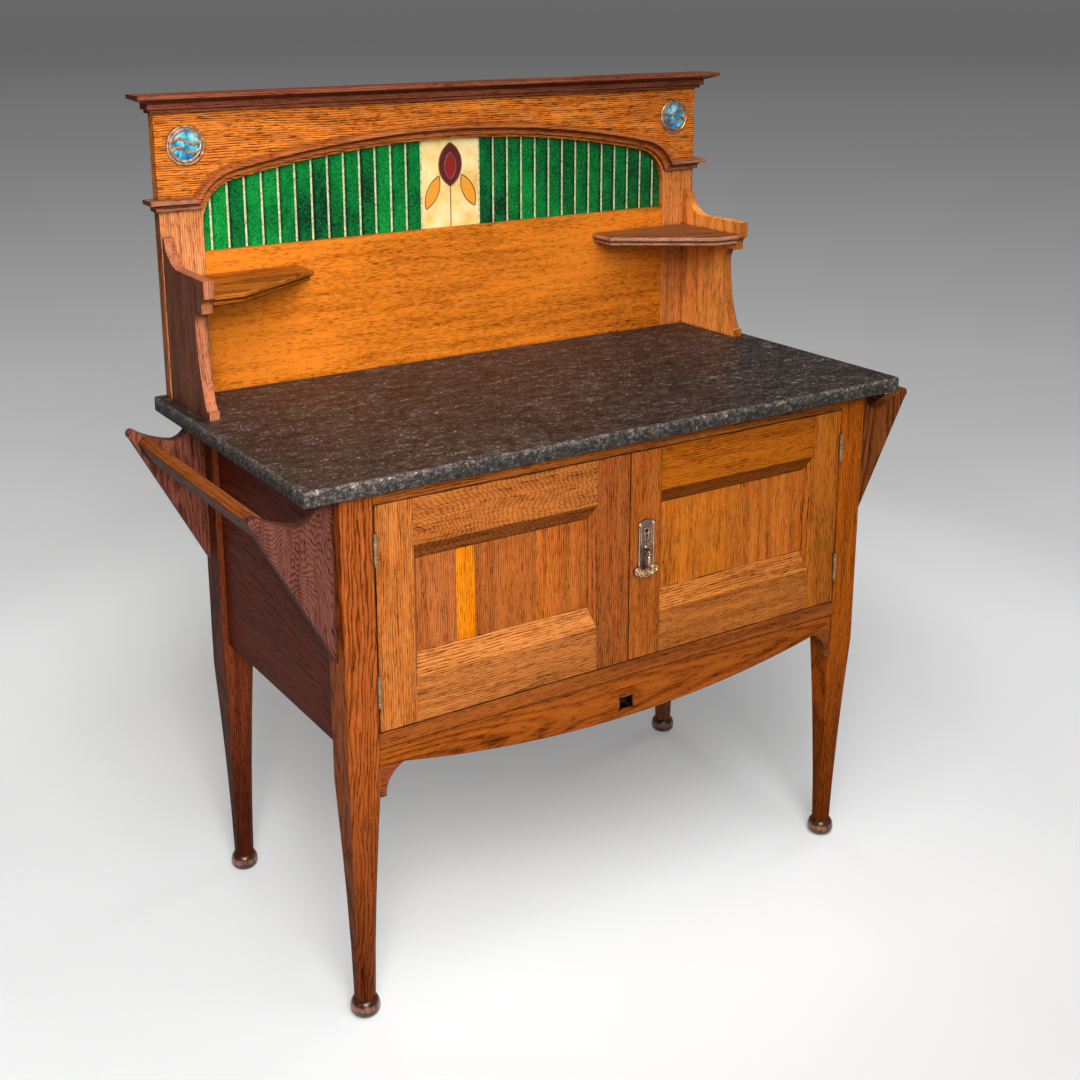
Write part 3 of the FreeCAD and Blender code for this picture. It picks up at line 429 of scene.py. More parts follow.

# %% [markdown]
# ### Stain, dust, wear and painted light
# The stain went on by hand, so each board has its own tone, and ends and backs differ from faces. Undersides get
# painted shade. A century of wax and dust then sits in every joint, and hands have rubbed some arrises pale; those
# pale arrises also stand for painted highlights. Dust and painted shade in gaps and creases follow how closed in a
# point is, which an occlusion node measures, and wear follows the arris.

# %% Stain
bare_oak = (140, 98, 58)
underside_shade_tint, underside_shade_share = (0.45, 0.40, 0.30), 0.75
window_shade_black, joint_shadow_black = (0.004, 0.003, 0.002), (0.020, 0.007, 0.003)
glue_line, window_lip, window_depth, window_blur = 0.0006, 0.001, 0.004, 0.001
joint_shadow_share, joint_from, joint_to = 0.85, 0.0022, 0.0012


def stain(tone):
    """The factor that brings the middle of the figure to a tone."""
    return tuple(v / figure_middle for v in linear(*tone))


def oak_colour(paint, name, place, figure, tone, cut):
    """The figure, stained, with each face tinted by the way it looks. Some of these tints are painted shade or
    painted highlight.
    """
    low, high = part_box(name)
    x = along(paint, place, "X")
    middle = stain(tone)
    for edge, other in cut.boards:
        middle = mix(paint, step(paint, x, edge - glue_line, edge + glue_line), middle, stain(other))
    colour = mix(paint, 1.0, figure, middle, "MULTIPLY")
    if cut.ends:
        outward = facing(paint, "X") * x.math("SIGN")
        colour = tinted(paint, step(paint, outward, 0.6, 0.9), colour, cut.ends)
    if cut.foot:
        foot_top, foot_tint = cut.foot
        colour = tinted(paint, 1 - step(paint, along(paint, place, "Z"), 0.0, foot_top), colour, foot_tint)
    # painted shade: faces that look forward are darkened
    if cut.front:
        colour = tinted(paint, 1 - step(paint, facing(paint, "Y"), -0.9, -0.5), colour, cut.front)
    if cut.bare_back:
        bare = mix(paint, 1.0, figure, stain(bare_oak), "MULTIPLY")
        colour = mix(paint, step(paint, facing(paint, "Y"), 0.6, 0.9), colour, bare)
    upward = facing(paint, "Z")
    # painted shade: faces that look up are darkened
    if cut.top:
        colour = tinted(paint, step(paint, upward, 0.6, 0.9), colour, cut.top)
    # painted highlight: faces that lean upwards are lightened
    if cut.sill:
        slope = step(paint, upward, 0.2, 0.3) * (1 - step(paint, upward, 0.6, 0.7))
        colour = tinted(paint, slope, colour, cut.sill)
    # painted shade: faces that look down are darkened
    underside_shade = 1 - step(paint, upward, -0.45, -0.25)
    colour = tinted(paint, underside_shade * underside_shade_share, colour, underside_shade_tint)
    # painted shade: the inside of the small window is painted black
    if cut.pit:
        deep = step(paint, along(paint, place, "Y"), low.y + window_lip, low.y + window_depth)
        within = 1 - step(paint, x.math("ABSOLUTE"), cut.pit, cut.pit + window_blur)
        colour = mix(paint, deep * within, colour, window_shade_black)
    # painted shadow: a dark line along the upper edge, as a step would cast
    if cut.crest:
        joint = step(paint, along(paint, place, "Z"), high.z - joint_from, high.z - joint_to)
        colour = mix(paint, joint_shadow_share * joint, colour, joint_shadow_black)
    return colour


print("bare oak as light:", [round(v, 3) for v in linear(*bare_oak)])

# %% Dust, wear, painted shade and highlights
shade_and_dirt_reach, shade_and_dirt_share, shade_and_dirt = 0.007, 0.85, (0.022, 0.008, 0.004)
arris_width, grime_share, grime = 0.0016, 0.8, (0.030, 0.009, 0.004)
worn_highlight_share, worn_highlight_gain, worn_highlight_lift, worn_highlight_limit = 0.5, (1.3, 1.45, 1.7), 0.01, 0.9


def oak_wear(paint, board, colour, tone):
    """Dust and painted shade in gaps and creases, grime along some arrises, and pale arrises that are both wear
    and painted highlight. Also gives the rounded normal.
    """
    # painted shade and dust: darker where a point is closed in, as in gaps and creases
    near = paint.make("AmbientOcclusion", {"samples": 4}, {"Distance": shade_and_dirt_reach}, "AO")
    colour = mix(paint, shade_and_dirt_share * (1 - step(paint, near, 0.25, 0.85)), colour, shade_and_dirt)
    rounded, edge = worn_edge(paint, arris_width)
    chance = cloud(paint, board, scale=26.0, detail=3.0)
    seam = step(paint, edge, 0.0, 0.10)
    colour = mix(paint, seam * (1 - step(paint, chance, 0.46, 0.56)) * grime_share, colour, grime)
    # wear and painted highlight: some arrises are paler
    worn_highlight = seam * step(paint, chance, 0.52, 0.62)
    pale = tuple(min(v * gain + worn_highlight_lift, worn_highlight_limit) for v, gain in zip(linear(*tone), worn_highlight_gain))
    return mix(paint, worn_highlight * worn_highlight_share, colour, pale), rounded


print("dirt gathers within", shade_and_dirt_reach * 1000, "mm")

# %% One oak board
seed_strides, seed_room = (0.37, 0.53, 0.71), 2.3
pore_strength, pore_depth, ring_share = 0.3, 0.0005, 0.6


def oak(name, grain, tone, **settings):
    """The finish of one board. tone is its middle colour, and settings are where it isn't a plain cut."""
    cut = SimpleNamespace(**{**plain_cut, **settings})
    material, paint = new_finish(name)
    seed = next(seeds)
    place = own_place(paint)
    board = moved(paint, place, shift=tuple(seed * v % seed_room for v in seed_strides))
    early = spring_wood(paint, name, grain, place, board, cut)
    figure, dash, broad = oak_figure(paint, grain, board, early, cut)
    colour = oak_colour(paint, name, place, figure, tone, cut)
    colour, rounded = oak_wear(paint, board, colour, tone)
    close_finish(paint, Base_Color=colour, Roughness=0.36 + 0.2 * dash + 0.2 * broad,
                 Normal=bumped(paint, 0 - dash - ring_share * early, pore_strength, pore_depth, rounded),
                 Specular_IOR_Level=0.04, Coat_Weight=0.01, Coat_Roughness=0.2)
    return material


def dress_boards(boards):
    """Finishes boards given as name: (grain, tone, settings of the cut)."""
    for name, (grain, tone, settings) in boards.items():
        dress(name, oak(name, grain, tone, **settings))
    print("oak boards:", ", ".join(boards))


arched = dict(flat=True, reach=0.05, lean=(0.02, 0.04, 0.02), ring=0.0042, broken=0.45, pores=0.5)
dark_end = dict(ends=(0.38, 0.38, 0.44))
print("an arched cut has its pith", arched["reach"], "m behind the face")

# %% [markdown]
# ### Boards of the splashback
# The tall back is the showpiece. Its frieze has strong dark lines, the wide panel below a fine short
# figure, and the brackets at its ends are darker outside, where the light doesn't reach.

# %% Splashback boards
dress_boards({
    "frieze_board": ("X", (189, 105, 37), dict(lines=1.1, pores=0.85, bare_back=True)),
    "lower_panel": ("X", (186, 100, 24), dict(
        lines=0.2, pores=0.35, dash_share=0.2, patches=0.9, bare_back=True)),
    "splash_stile_left": ("Z", (188, 117, 70), dict(ends=(0.62, 0.56, 0.54), bare_back=True)),
    "splash_stile_right": ("Z", (188, 110, 52), dict(dark_end, bare_back=True)),
    "splash_posts": ("Z", (150, 85, 45), {}),
    "cornice": ("X", (119, 62, 41), dark_end),
    "arch_moulding": ("X", (158, 85, 42), {}),
    "ledge_mouldings": ("X", (142, 88, 63), dark_end),
    "end_bracket_left": ("Z", (155, 91, 61), dict(ends=(0.42, 0.42, 0.48), lines=0.5, pores=0.5)),
    # painted shade: the right bracket's faces that look forward are darkened
    "end_bracket_right": ("Z", (227, 138, 62), dict(
        dark_end, front=(0.5, 0.42, 0.4), lines=0.45, pores=0.5)),
    "corner_shelf_left": ("X", (147, 78, 21), {}),
    # painted shade: the top of the right shelf is darkened
    "corner_shelf_right": ("X", (166, 112, 86), dict(top=(0.48, 0.37, 0.22), pores=0.4, lines=0.4)),
})

# %% [markdown]
# ### Legs, sides and rails
# Most legs are darker towards the floor. The front left leg is cut so that its rings show as long arches. The
# apron below the doors has a small pierced window, painted black inside as shade, with a painted shadow line along
# its upper edge.

# %% Legs, sides and rails
leg_dark_to = 0.42
side_light = (0.5, 0.45, 0.5)
darker_below = dict(ends=side_light, foot=(leg_dark_to, (0.42, 0.34, 0.32)))
long_arches = dict(reach=0.14, lean=(0.04, 0.05, 0), ring=0.0056, warp=0.022, lines=0.62, broken=0.4,
                   pores=0.5, patches=0.6)
quiet_side = dict(flat=True, reach=0.06, lean=(0.06, 0, 0.08), ring=0.008, warp=0.02, lines=0.4,
                  broken=0.6, pores=0.35)
dress_boards({
    "leg_front_left": ("Z", (149, 73, 27), dict(
        long_arches, ends=(0.84, 0.82, 0.84), foot=(leg_dark_to, (0.5, 0.42, 0.42)))),
    "leg_front_right": ("Z", (164, 80, 11), darker_below),
    "leg_back_left": ("Z", (120, 56, 30), darker_below),
    # painted light: this leg is lighter than the others and has no darker foot
    "leg_back_right": ("Z", (138, 88, 64), dict(ends=side_light)),
    "side_panel_left": ("Y", (88, 34, 17), quiet_side),
    "side_panel_right": ("Y", (84, 38, 26), quiet_side),
    "front_top_rail": ("X", (150, 80, 29), {}),
    "front_bottom_rail": ("X", (144, 74, 27), {}),
    "apron": ("X", (149, 73, 19), dict(arched, lines=0.42, pores=0.6, pit=0.017, crest=True)),
    "apron_ears": ("X", (132, 66, 31), {}),
})

# %% [markdown]
# ### Doors
# Each sunk panel is glued up from several boards, and one narrow board of the left panel is much paler.
# The bevel that leads down to the panel on the lower rail is painted lighter, as a highlight.

# %% Door boards
# painted highlight on the bevels of the lower rails
bright_bevel = dict(sill=(1.14, 1.2, 1.3))
waved_rail = dict(flat=True, reach=0.10, lean=(0, 0.5, 0), warp=0.02, lines=0.42, broken=0.4, pores=0.5)
left_panel_boards = ((-0.274, (212, 115, 13)), (-0.246, (158, 84, 33)), (-0.149, (172, 91, 34)))
right_panel_boards = ((0.198, (184, 99, 33)),)
dress_boards({
    "left_door_hinge_stile": ("Z", (174, 98, 41), {}),
    "left_door_meeting_stile": ("Z", (149, 77, 31), {}),
    "left_door_top_rail": ("X", (162, 90, 37), waved_rail),
    "left_door_bottom_rail": ("X", (175, 102, 46), bright_bevel),
    "left_door_panel": ("Z", (164, 90, 42), dict(boards=left_panel_boards)),
    "right_door_hinge_stile": ("Z", (167, 91, 26), {}),
    "right_door_meeting_stile": ("Z", (162, 84, 28), {}),
    "right_door_top_rail": ("X", (161, 84, 14), {}),
    "right_door_bottom_rail": ("X", (170, 96, 38), bright_bevel),
    "right_door_panel": ("Z", (183, 100, 27), dict(lines=0.5, pores=0.5, boards=right_panel_boards)),
})

# %% [markdown]
# ### Towel rails
# The brackets at both ends are sawn from flat-cut boards, so their faces show arches. They and their
# rails are darker than the front, as is the whole end of the stand.

# %% Towel rail boards
rail_sides = dict(ends=(0.6, 0.55, 0.5))
tight_arches = dict(flat=True, reach=0.07, lean=(0.25, 0.45, 0), ring=0.003, warp=0.03, lines=0.6,
                    broken=0.4, pores=0.5)
dress_boards({
    "towel_bracket_front_left": ("Z", (97, 55, 45), tight_arches),
    "towel_bracket_back_left": ("Z", (110, 60, 46), dict(arched, lines=0.6, warp=0.014)),
    "towel_bracket_front_right": ("Z", (118, 61, 23), arched),
    "towel_bracket_back_right": ("Z", (84, 40, 22), arched),
    "towel_rail_left": ("Y", (117, 58, 21), dict(rail_sides, lines=0.5, pores=0.4)),
    # painted shade: the right rail is near black, as the deep shadow it lies in
    "towel_rail_right": ("Y", (54, 28, 17), rail_sides),
})

# %% [markdown]
# ## Inside and back
# What the room doesn't see was left without stain or polish: pale boards, a little dusty. The bearers
# under the floor and the stone are darker, since no light and no duster ever reach them.

# %% Plain inside wood
unpolished, bearer_tone = (150, 112, 74), (58, 42, 32)
rough_sawn = dict(reach=0.5, ring=0.006, lines=0.3, patches=0.6)
inside_grain = {"back_boards": "Z", "back_bottom_rail": "X", "back_top_rail": "X", "cupboard_floor": "X",
                "tile_backing_board": "X"}
dress_boards({name: (grain, unpolished, rough_sawn) for name, grain in inside_grain.items()})
dress_boards({"floor_and_top_bearers": ("Y", bearer_tone, dict(patches=0.7))})

# %% [markdown]
# ## The stone top
# A dark limestone full of small fossils, rubbed smooth on top and left gritty along its edges. Its bed
# lies along the length of the top, so the noise is drawn out that way. Fossils are small bright cells, in
# drifts.

# %% Stone figure
stone, paint = new_finish("fossil_stone")
place = own_place(paint)
bed = moved(paint, place, (0.45, 1, 1))
grit = cloud(paint, place, scale=330.0, detail=4.0, rough=0.7)
drift = cloud(paint, bed, scale=70.0, detail=5.0, rough=0.7)
fibre = cloud(paint, bed, scale=210.0, detail=4.0, rough=0.7)
shells = cells(paint, moved(paint, place, (0.55, 1, 1)), scale=120.0)
shell_drifts = step(paint, cloud(paint, place, scale=60.0, detail=3.0), 0.52, 0.66)
fossil = step(paint, 1 - shells, 0.78, 0.95) * shell_drifts
shade = 0.31 + 1.0 * (drift - 0.5) + 1.9 * (grit - 0.5) + 1.3 * (fibre - 0.5) + 0.5 * fossil
honed = ramp(paint, shade, [
    (0.05, linear(17, 14, 12)), (0.36, linear(55, 44, 40)), (0.62, linear(98, 83, 76)),
    (0.95, linear(208, 200, 190))])
print("stone figure has", len(stone.node_tree.nodes), "nodes")

# %% Stone edge and finish
edge_start, chip_width, chip_share, chip = 0.006, 0.004, 0.6, linear(190, 184, 176)
stone_low, stone_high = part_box("stone_top")
sides = 1 - step(paint, facing(paint, "Z"), 0.5, 0.95)
crown = step(paint, along(paint, place, "Z"), stone_low.z + edge_start, stone_high.z)
broken_face = cloud(paint, place, scale=170.0, detail=4.0, rough=0.7) - 0.5
raw = ramp(paint, 0.45 * shade + 1.0 * broken_face + 0.25 + 0.16 * crown, [
    (0.1, linear(18, 15, 14)), (0.42, linear(55, 49, 46)), (0.66, linear(112, 103, 96)),
    (0.95, linear(226, 216, 204))])
rounded, edge = worn_edge(paint, chip_width)
chipped = step(paint, edge, 0.02, 0.3) * step(paint, cloud(paint, place, scale=140.0, detail=3.0), 0.46, 0.6)
colour = mix(paint, chipped * chip_share, mix(paint, sides, honed, raw), chip)
close_finish(paint, Base_Color=colour, Roughness=0.34 + 0.3 * sides + 0.25 * grit, Specular_IOR_Level=0.2,
             Normal=bumped(paint, (grit + drift) * (0.35 + sides), 0.5, 0.0009, rounded))
dress("stone_top", stone)
print("stone is", round((stone_high.z - stone_low.z) * 1000, 1), "mm thick")

# %% [markdown]
# ## Glazed tile
# Hand-dipped glaze pools and thins, so no two strips have the same green. Each strip takes its own tone from its
# place in the row, its rims are darker, and small bubbles in the glaze show as dark specks. The strips to the
# right of the middle are slightly darker.

# %% Green strips
strip_start, strip_pitch, side_stride = 0.051, 0.0269, 40
glaze, paint = new_finish("green_glaze")
place = own_place(paint)
across = along(paint, place, "X")
height = along(paint, place, "Z")
run = (across.math("ABSOLUTE") - strip_start) / strip_pitch
strip = run.math("FLOOR") + side_stride * across.math("SIGN")
rim = ((run.math("FRACT") - 0.5).math("ABSOLUTE")) * 2
own = paint.make("TexWhiteNoise", {"noise_dimensions": "1D"}, {"W": strip}, "Value")
strip_space = paint.make("CombineXYZ", {}, {0: across, 1: own * 5, 2: height * 0.6})
pool = cloud(paint, strip_space, scale=34.0, detail=4.0, rough=0.62)
fine = cloud(paint, place, scale=320.0, detail=4.0, rough=0.7)
tide = cloud(paint, place, scale=7.0, detail=3.0)
tone = 0.58 + 0.28 * (own - 0.5) + 0.8 * (tide - 0.5) + 0.8 * (pool - 0.5) + 1.7 * (fine - 0.5)
tone = tone - 0.34 * step(paint, rim, 0.55, 0.95) - 0.03 - 0.14 * step(paint, across, 0.0, 0.1)
green = ramp(paint, tone, [
    (0.1, linear(0, 34, 20)), (0.45, linear(2, 100, 40)), (0.75, linear(4, 136, 50)),
    (1.0, linear(42, 158, 62))])
print("strips are", strip_pitch * 1000, "mm apart")

# %% Specks and gloss of the strips
speck_share, speck_green = 0.85, linear(2, 30, 16)
bubbles = cells(paint, place, scale=190.0)
speck_groups = step(paint, cloud(paint, place, scale=70.0, detail=2.0), 0.42, 0.56)
speck = step(paint, 1 - bubbles, 0.74, 0.84) * speck_groups
colour = mix(paint, speck * speck_share, green, speck_green)
close_finish(paint, Base_Color=colour, Roughness=0.14 + 0.1 * fine, Specular_IOR_Level=0.2,
             Normal=bumped(paint, pool + 0.2 * fine, 0.25, 0.001), Coat_Weight=0.25, Coat_Roughness=0.06)
dress("green_tiles", glaze)
print("green glaze has", len(glaze.node_tree.nodes), "nodes")

# %% Joints between the strips
joint, paint = new_finish("tile_cement")
dust = cloud(paint, own_place(paint), scale=240.0, detail=4.0, rough=0.65)
cement = ramp(paint, dust, [
    (0.3, linear(112, 112, 74)), (0.5, linear(190, 192, 140)), (0.7, linear(226, 226, 186))])
close_finish(paint, Base_Color=cement, Roughness=0.6 + 0.3 * dust, Normal=bumped(paint, dust, 0.4, 0.0005))
dress("tile_joints", joint)
print("cement has", len(joint.node_tree.nodes), "nodes")

# %% [markdown]
# ### The centre tile
# The middle tile is cream with a plain sprig: a closed bud on a straight stem, and a leaf at each side. A
# bud or leaf is the lens where two circles overlap, so the glaze asks of each point how far inside that
# lens it lies.

# %% Centre tile
sprig_scale = 1.3
bud_lens = ((0, 0.022), 0.030, 0.014)
heart_lens = ((0, 0.020), 0.021, 0.013)
leaf_lens = ((0, -0.012), 0.034, 0.026)
leaf_at, leaf_turn = 0.020, 0.437
tilt_cos, tilt_sin = math.cos(leaf_turn), math.sin(leaf_turn)
tile_low, tile_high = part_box("centre_tile")
tile_middle = (tile_low + tile_high) / 2
tile, paint = new_finish("cream_glaze")
place = own_place(paint)
centred = tuple(-v / sprig_scale for v in tile_middle)
flat = moved(paint, place, (1 / sprig_scale, 1, 1 / sprig_scale), centred)
x = along(paint, flat, "X")
z = along(paint, flat, "Z")


def lens_depth(x, z, lens):
    """How far inside a lens of two circles a point lies, in metres: above 0 is inside."""
    (at_x, at_z), radius, gap = lens
    away = ((x - at_x).math("ABSOLUTE") + gap) ** 2 + (z - at_z) ** 2
    return radius - away ** 0.5


def inside(depth, soft=0.0004):
    return step(paint, depth, -soft, soft)


wing = x.math("ABSOLUTE") - leaf_at
leaf = lens_depth(wing * tilt_cos + z * tilt_sin, z * tilt_cos - wing * tilt_sin, leaf_lens)
tint = cloud(paint, place, scale=26.0, detail=4.0, rough=0.6)
colour = ramp(paint, tint, [
    (0.3, linear(224, 160, 70)), (0.5, linear(240, 206, 128)), (0.72, linear(247, 226, 174))])
colour = mix(paint, inside(leaf), colour, linear(232, 150, 44))
colour = mix(paint, inside(lens_depth(x, z, bud_lens)), colour, linear(92, 20, 18))
colour = mix(paint, inside(lens_depth(x, z, heart_lens)), colour, linear(138, 22, 14))
close_finish(paint, Base_Color=colour, Roughness=0.16 + 0.12 * tint, Normal=bumped(paint, tint, 0.4, 0.0008),
             Coat_Weight=0.5, Coat_Roughness=0.08)
dress("centre_tile", tile)
print("centre tile is", round((tile_high.x - tile_low.x) * 1000, 1), "mm wide")

# %% [markdown]
# ## Roundels
# A copper ring holds a disc of blue enamel, paler towards its upper edge. Copper bands part it in waves, and are
# made further below.

# %% Copper
copper_arris = 0.001
copper, paint = new_finish("copper")
tarnish = cloud(paint, own_place(paint), scale=130.0, detail=4.0, rough=0.6)
rounded, _ = worn_edge(paint, copper_arris)
tone = ramp(paint, tarnish, [
    (0.3, linear(126, 82, 54)), (0.5, linear(206, 154, 114)), (0.7, linear(244, 212, 176))])
close_finish(paint, Base_Color=tone, Metallic=1.0, Roughness=0.3 + 0.25 * tarnish, Normal=rounded)
dress("roundel_rims", copper)
print("copper has", len(copper.node_tree.nodes), "nodes")

# %% Enamel
pale_rise = 4.0
enamel, paint = new_finish("enamel")
place = own_place(paint)
disc_low, disc_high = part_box("roundel_enamels")
disc_z = (disc_low.z + disc_high.z) / 2
flow = cloud(paint, moved(paint, place, (1, 1, 0.6)), scale=95.0, detail=3.0, rough=0.6)
blue = ramp(paint, flow + pale_rise * (along(paint, place, "Z") - disc_z), [
    (0.26, linear(10, 56, 104)), (0.42, linear(24, 114, 166)), (0.54, linear(80, 172, 188)),
    (0.68, linear(156, 204, 214))])
close_finish(paint, Base_Color=blue, Roughness=0.08 + 0.12 * flow, Normal=bumped(paint, flow, 0.35, 0.0008),
             Coat_Weight=0.4, Coat_Roughness=0.04)
dress("roundel_enamels", enamel)
print("enamel discs are", round((disc_high.z - disc_low.z) * 1000, 1), "mm across")

# %% [markdown]
# ## Metal fittings
# The fittings are old brass: brown in the hollows, brighter where fingers rub the edges. The handle's
# plate is a duller bronze, and the lock and bolts behind the doors are plain iron. One function makes
# them all from a deep and a rubbed colour.

# %% Brass and iron
def metal(name, deep, rubbed, rough, mottle=1.0, edge_width=0.0008):
    """deep is the colour in hollows, rubbed that of edges, and mottle how spotted it is."""
    material, paint = new_finish(name)
    spots = cloud(paint, own_place(paint), scale=220.0, detail=4.0, rough=0.65)
    rounded, edge = worn_edge(paint, edge_width)
    tone = ramp(paint, 0.5 + mottle * (spots - 0.5) + 0.3 * step(paint, edge, 0.02, 0.3), [
        (0.3, tuple(v * 0.55 for v in linear(*deep))), (0.5, linear(*deep)), (0.75, linear(*rubbed))])
    close_finish(paint, Base_Color=tone, Metallic=1.0, Roughness=rough + 0.25 * spots,
                 Normal=bumped(paint, spots, 0.3 * mottle, 0.0004, rounded))
    return material


old_brass = metal("old_brass", deep=(196, 160, 120), rubbed=(250, 226, 190), rough=0.12, mottle=0.5)
plate_bronze = metal("plate_bronze", deep=(128, 108, 98), rubbed=(186, 160, 138), rough=0.26, mottle=0.35)
hinge_brass = metal("hinge_brass", deep=(150, 128, 96), rubbed=(200, 184, 150), rough=0.3)
iron = metal("iron", deep=(92, 88, 84), rubbed=(140, 136, 130), rough=0.35)
for name in nodes:
    if "hinge_leaves" in name:
        dress(name, hinge_brass)
dress("handle_backplate", plate_bronze)
dress("drop_pull", old_brass)
for name in ("lock_case", "lock_bolt", "left_door_bolt", "left_door_bolt_plate"):
    dress(name, iron)
print("metals:", [m.name for m in (old_brass, plate_bronze, hinge_brass, iron)])

# %% [markdown]
# ## Turned and chased work
# Some forms are finer than the frame needs: the round of a turned foot, the vase of the pull, the chasing
# on the handle plate. They are made the way a workshop makes them. A turner cuts a profile that spins, so
# a few points are joined to a line and spun full circle. The chased details are small shapes pressed up
# from the plate.

# %% Piece helpers
sharp_from = math.radians(38)
merge_within = 1e-6


def finished(name, mesh, material, body):
    """Closes a bmesh: doubles merged, faces turned outwards, and the piece hung on its body."""
    bmesh.ops.remove_doubles(mesh, verts=mesh.verts, dist=merge_within)
    bmesh.ops.recalc_face_normals(mesh, faces=mesh.faces)
    data = bpy.data.meshes.new(name)
    mesh.to_mesh(data)
    mesh.free()
    data.materials.append(material)
    data.shade_smooth()
    data.set_sharp_from_angle(angle=sharp_from)
    piece = bpy.data.objects.new(name, data)
    bpy.context.scene.collection.objects.link(piece)
    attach(piece, body)
    print(name, "faces", len(data.polygons), "on", body)
    return piece


def turned(mesh, profile, centre, axis, steps=40):
    """Spins a profile of (radius, along) pairs full circle round an axis through centre."""
    spindle = Vector(axis)
    out = spindle.orthogonal().normalized()
    points = [mesh.verts.new(Vector(centre) + out * r + spindle * a) for r, a in profile]
    edges = [mesh.edges.new(pair) for pair in zip(points, points[1:])]
    bmesh.ops.spin(mesh, geom=points + edges, cent=centre, axis=axis, angle=math.tau, steps=steps,
                   use_merge=True)


def eased(profile, rounds=2):
    """Cuts the corners of a profile, a quarter from each end, so that it runs smoothly. Its ends stay."""
    points = [Vector(p) for p in profile]
    for _ in range(rounds):
        cut = [points[0]]
        for a, b in zip(points, points[1:]):
            cut += [a.lerp(b, 0.25), a.lerp(b, 0.75)]
        points = cut + [points[-1]]
    return [tuple(p) for p in points]


print("edges stay sharp from", round(math.degrees(sharp_from)), "degrees")

# %% [markdown]
# ### Feet
# Each leg ends in a flattened ball, turned and dark with polish and floor wax. Round its middle it is paler:
# rubbed, and a painted highlight. The profile is two quarter ellipses that meet at the widest line.
# The frame says where the feet stand.

# %% Foot polish
wear_and_highlight_band = (0.008, 0.013, 0.016, 0.021)
foot_polish, paint = new_finish("foot_polish")
place = own_place(paint)
wear = cloud(paint, moved(paint, place, (1, 1, 0.35)), scale=160.0, detail=4.0, rough=0.65)
height = along(paint, place, "Z")
# wear and painted highlight: a paler band round the middle of the foot
rubbed = step(paint, height, *wear_and_highlight_band[:2]) * (1 - step(paint, height, *wear_and_highlight_band[2:]))
brown = ramp(paint, wear + 0.22 * rubbed - 0.08, [
    (0.3, linear(34, 14, 9)), (0.5, linear(82, 38, 22)), (0.75, linear(172, 112, 78))])
close_finish(paint, Base_Color=brown, Roughness=0.2 + 0.2 * wear, Coat_Weight=0.4, Coat_Roughness=0.1)
print("feet are rubbed from", wear_and_highlight_band[0] * 1000, "to", wear_and_highlight_band[-1] * 1000, "mm above the floor")

# %% Feet
foot_h, foot_rise, foot_r, base_r, neck_r = 0.0243, 0.0110, 0.0208, 0.0133, 0.0137
foot_steps = 18
foot_places = [tuple(m["pos_m"]) for m in frame["record"]["mounts"] if m["name"].endswith("_foot")]
foot_profile = [(0, 0)]
for n in range(foot_steps + 1):
    lift = math.pi * (n / foot_steps - 1 / 2)
    reach, inner = (foot_rise, base_r) if lift < 0 else (foot_h - foot_rise, neck_r)
    foot_profile.append((inner + (foot_r - inner) * math.cos(lift), foot_rise + reach * math.sin(lift)))
foot_profile.append((neck_r / 2, foot_h))
feet = bmesh.new()
for foot_place in foot_places:
    turned(feet, foot_profile, foot_place, (0, 0, 1))
finished("turned_feet", feet, foot_polish, "carcass")

# %% [markdown]
# ### The drop pull
# A small brass vase hangs from an eye. Its outline is one smooth line: a ring under the eye, a slim neck,
# a full belly and a button. The eye is a ring with a hole for the pin, spun round the pin's own line.

# %% Drop pull
pull_pin = next(tuple(j["pos_m"]) for j in frame["joints"] if j["name"] == "drop_pull_swing")
pull = bmesh.new()
vase = eased([(0, -0.0036), (0.0029, -0.0036), (0.0030, -0.0048), (0.0040, -0.0056), (0.0040, -0.0064),
              (0.0027, -0.0074), (0.0024, -0.0130), (0.0032, -0.0190), (0.0046, -0.0240), (0.0047, -0.0276),
              (0.0034, -0.0294), (0.0020, -0.0300), (0.0026, -0.0316), (0.0016, -0.0329), (0, -0.0330)])
turned(pull, vase, pull_pin, (0, 0, 1), steps=32)
eye_ring = eased([(0.0014, -0.0024), (0.0030, -0.0024), (0.0037, -0.0014), (0.0037, 0.0014),
                  (0.0030, 0.0024), (0.0014, 0.0024)], rounds=1)
turned(pull, eye_ring + eye_ring[:1], pull_pin, (1, 0, 0), steps=28)
drop_pull = finished("smooth_drop_pull", pull, old_brass, "drop_pull")
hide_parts("drop_pull")

# %% [markdown]
# ### The chased handle plate
# The plate is pressed brass with a raised rim, a moulded keyhole and a row of scrolls at its foot. Each
# detail is a wire, ring or button that is let a little into the plate, so that it joins it from every
# side.

# %% Wire
def wire_path(mesh, points, radius, sides=8):
    """A round wire through points, made by bridging a circle at one point to the circle at the next."""
    points = [Vector(p) for p in points]
    beyond = points[-1] * 2 - points[-2]
    ring = None
    for here, after in zip(points, points[1:] + [beyond]):
        way = (after - here).to_track_quat("Z", "Y").to_matrix().to_4x4()
        at_end = ring is None or after == beyond
        circle = bmesh.ops.create_circle(mesh, cap_ends=at_end, segments=sides, radius=radius,
                                         matrix=Matrix.Translation(here) @ way)["verts"]
        edges = list({e for v in circle for e in v.link_edges})
        if ring:
            bmesh.ops.bridge_loops(mesh, edges=ring + edges)
        ring = edges


pull_x = pull_pin[0]
plate_face, half_w, shoulder, foot_line = -0.246, 0.0124, 0.6285, 0.5600
waist, waist_line = 0.6000, 0.5965
rim_wire, inner_wire, inner_inset, inner_top = 0.0009, 0.0005, 0.0032, shoulder - 0.003
cross_wires = ((waist, 0.0010), (waist_line, 0.0006), (foot_line, 0.0010))
print("handle plate is", round(2 * half_w * 1000, 1), "mm between its rims")

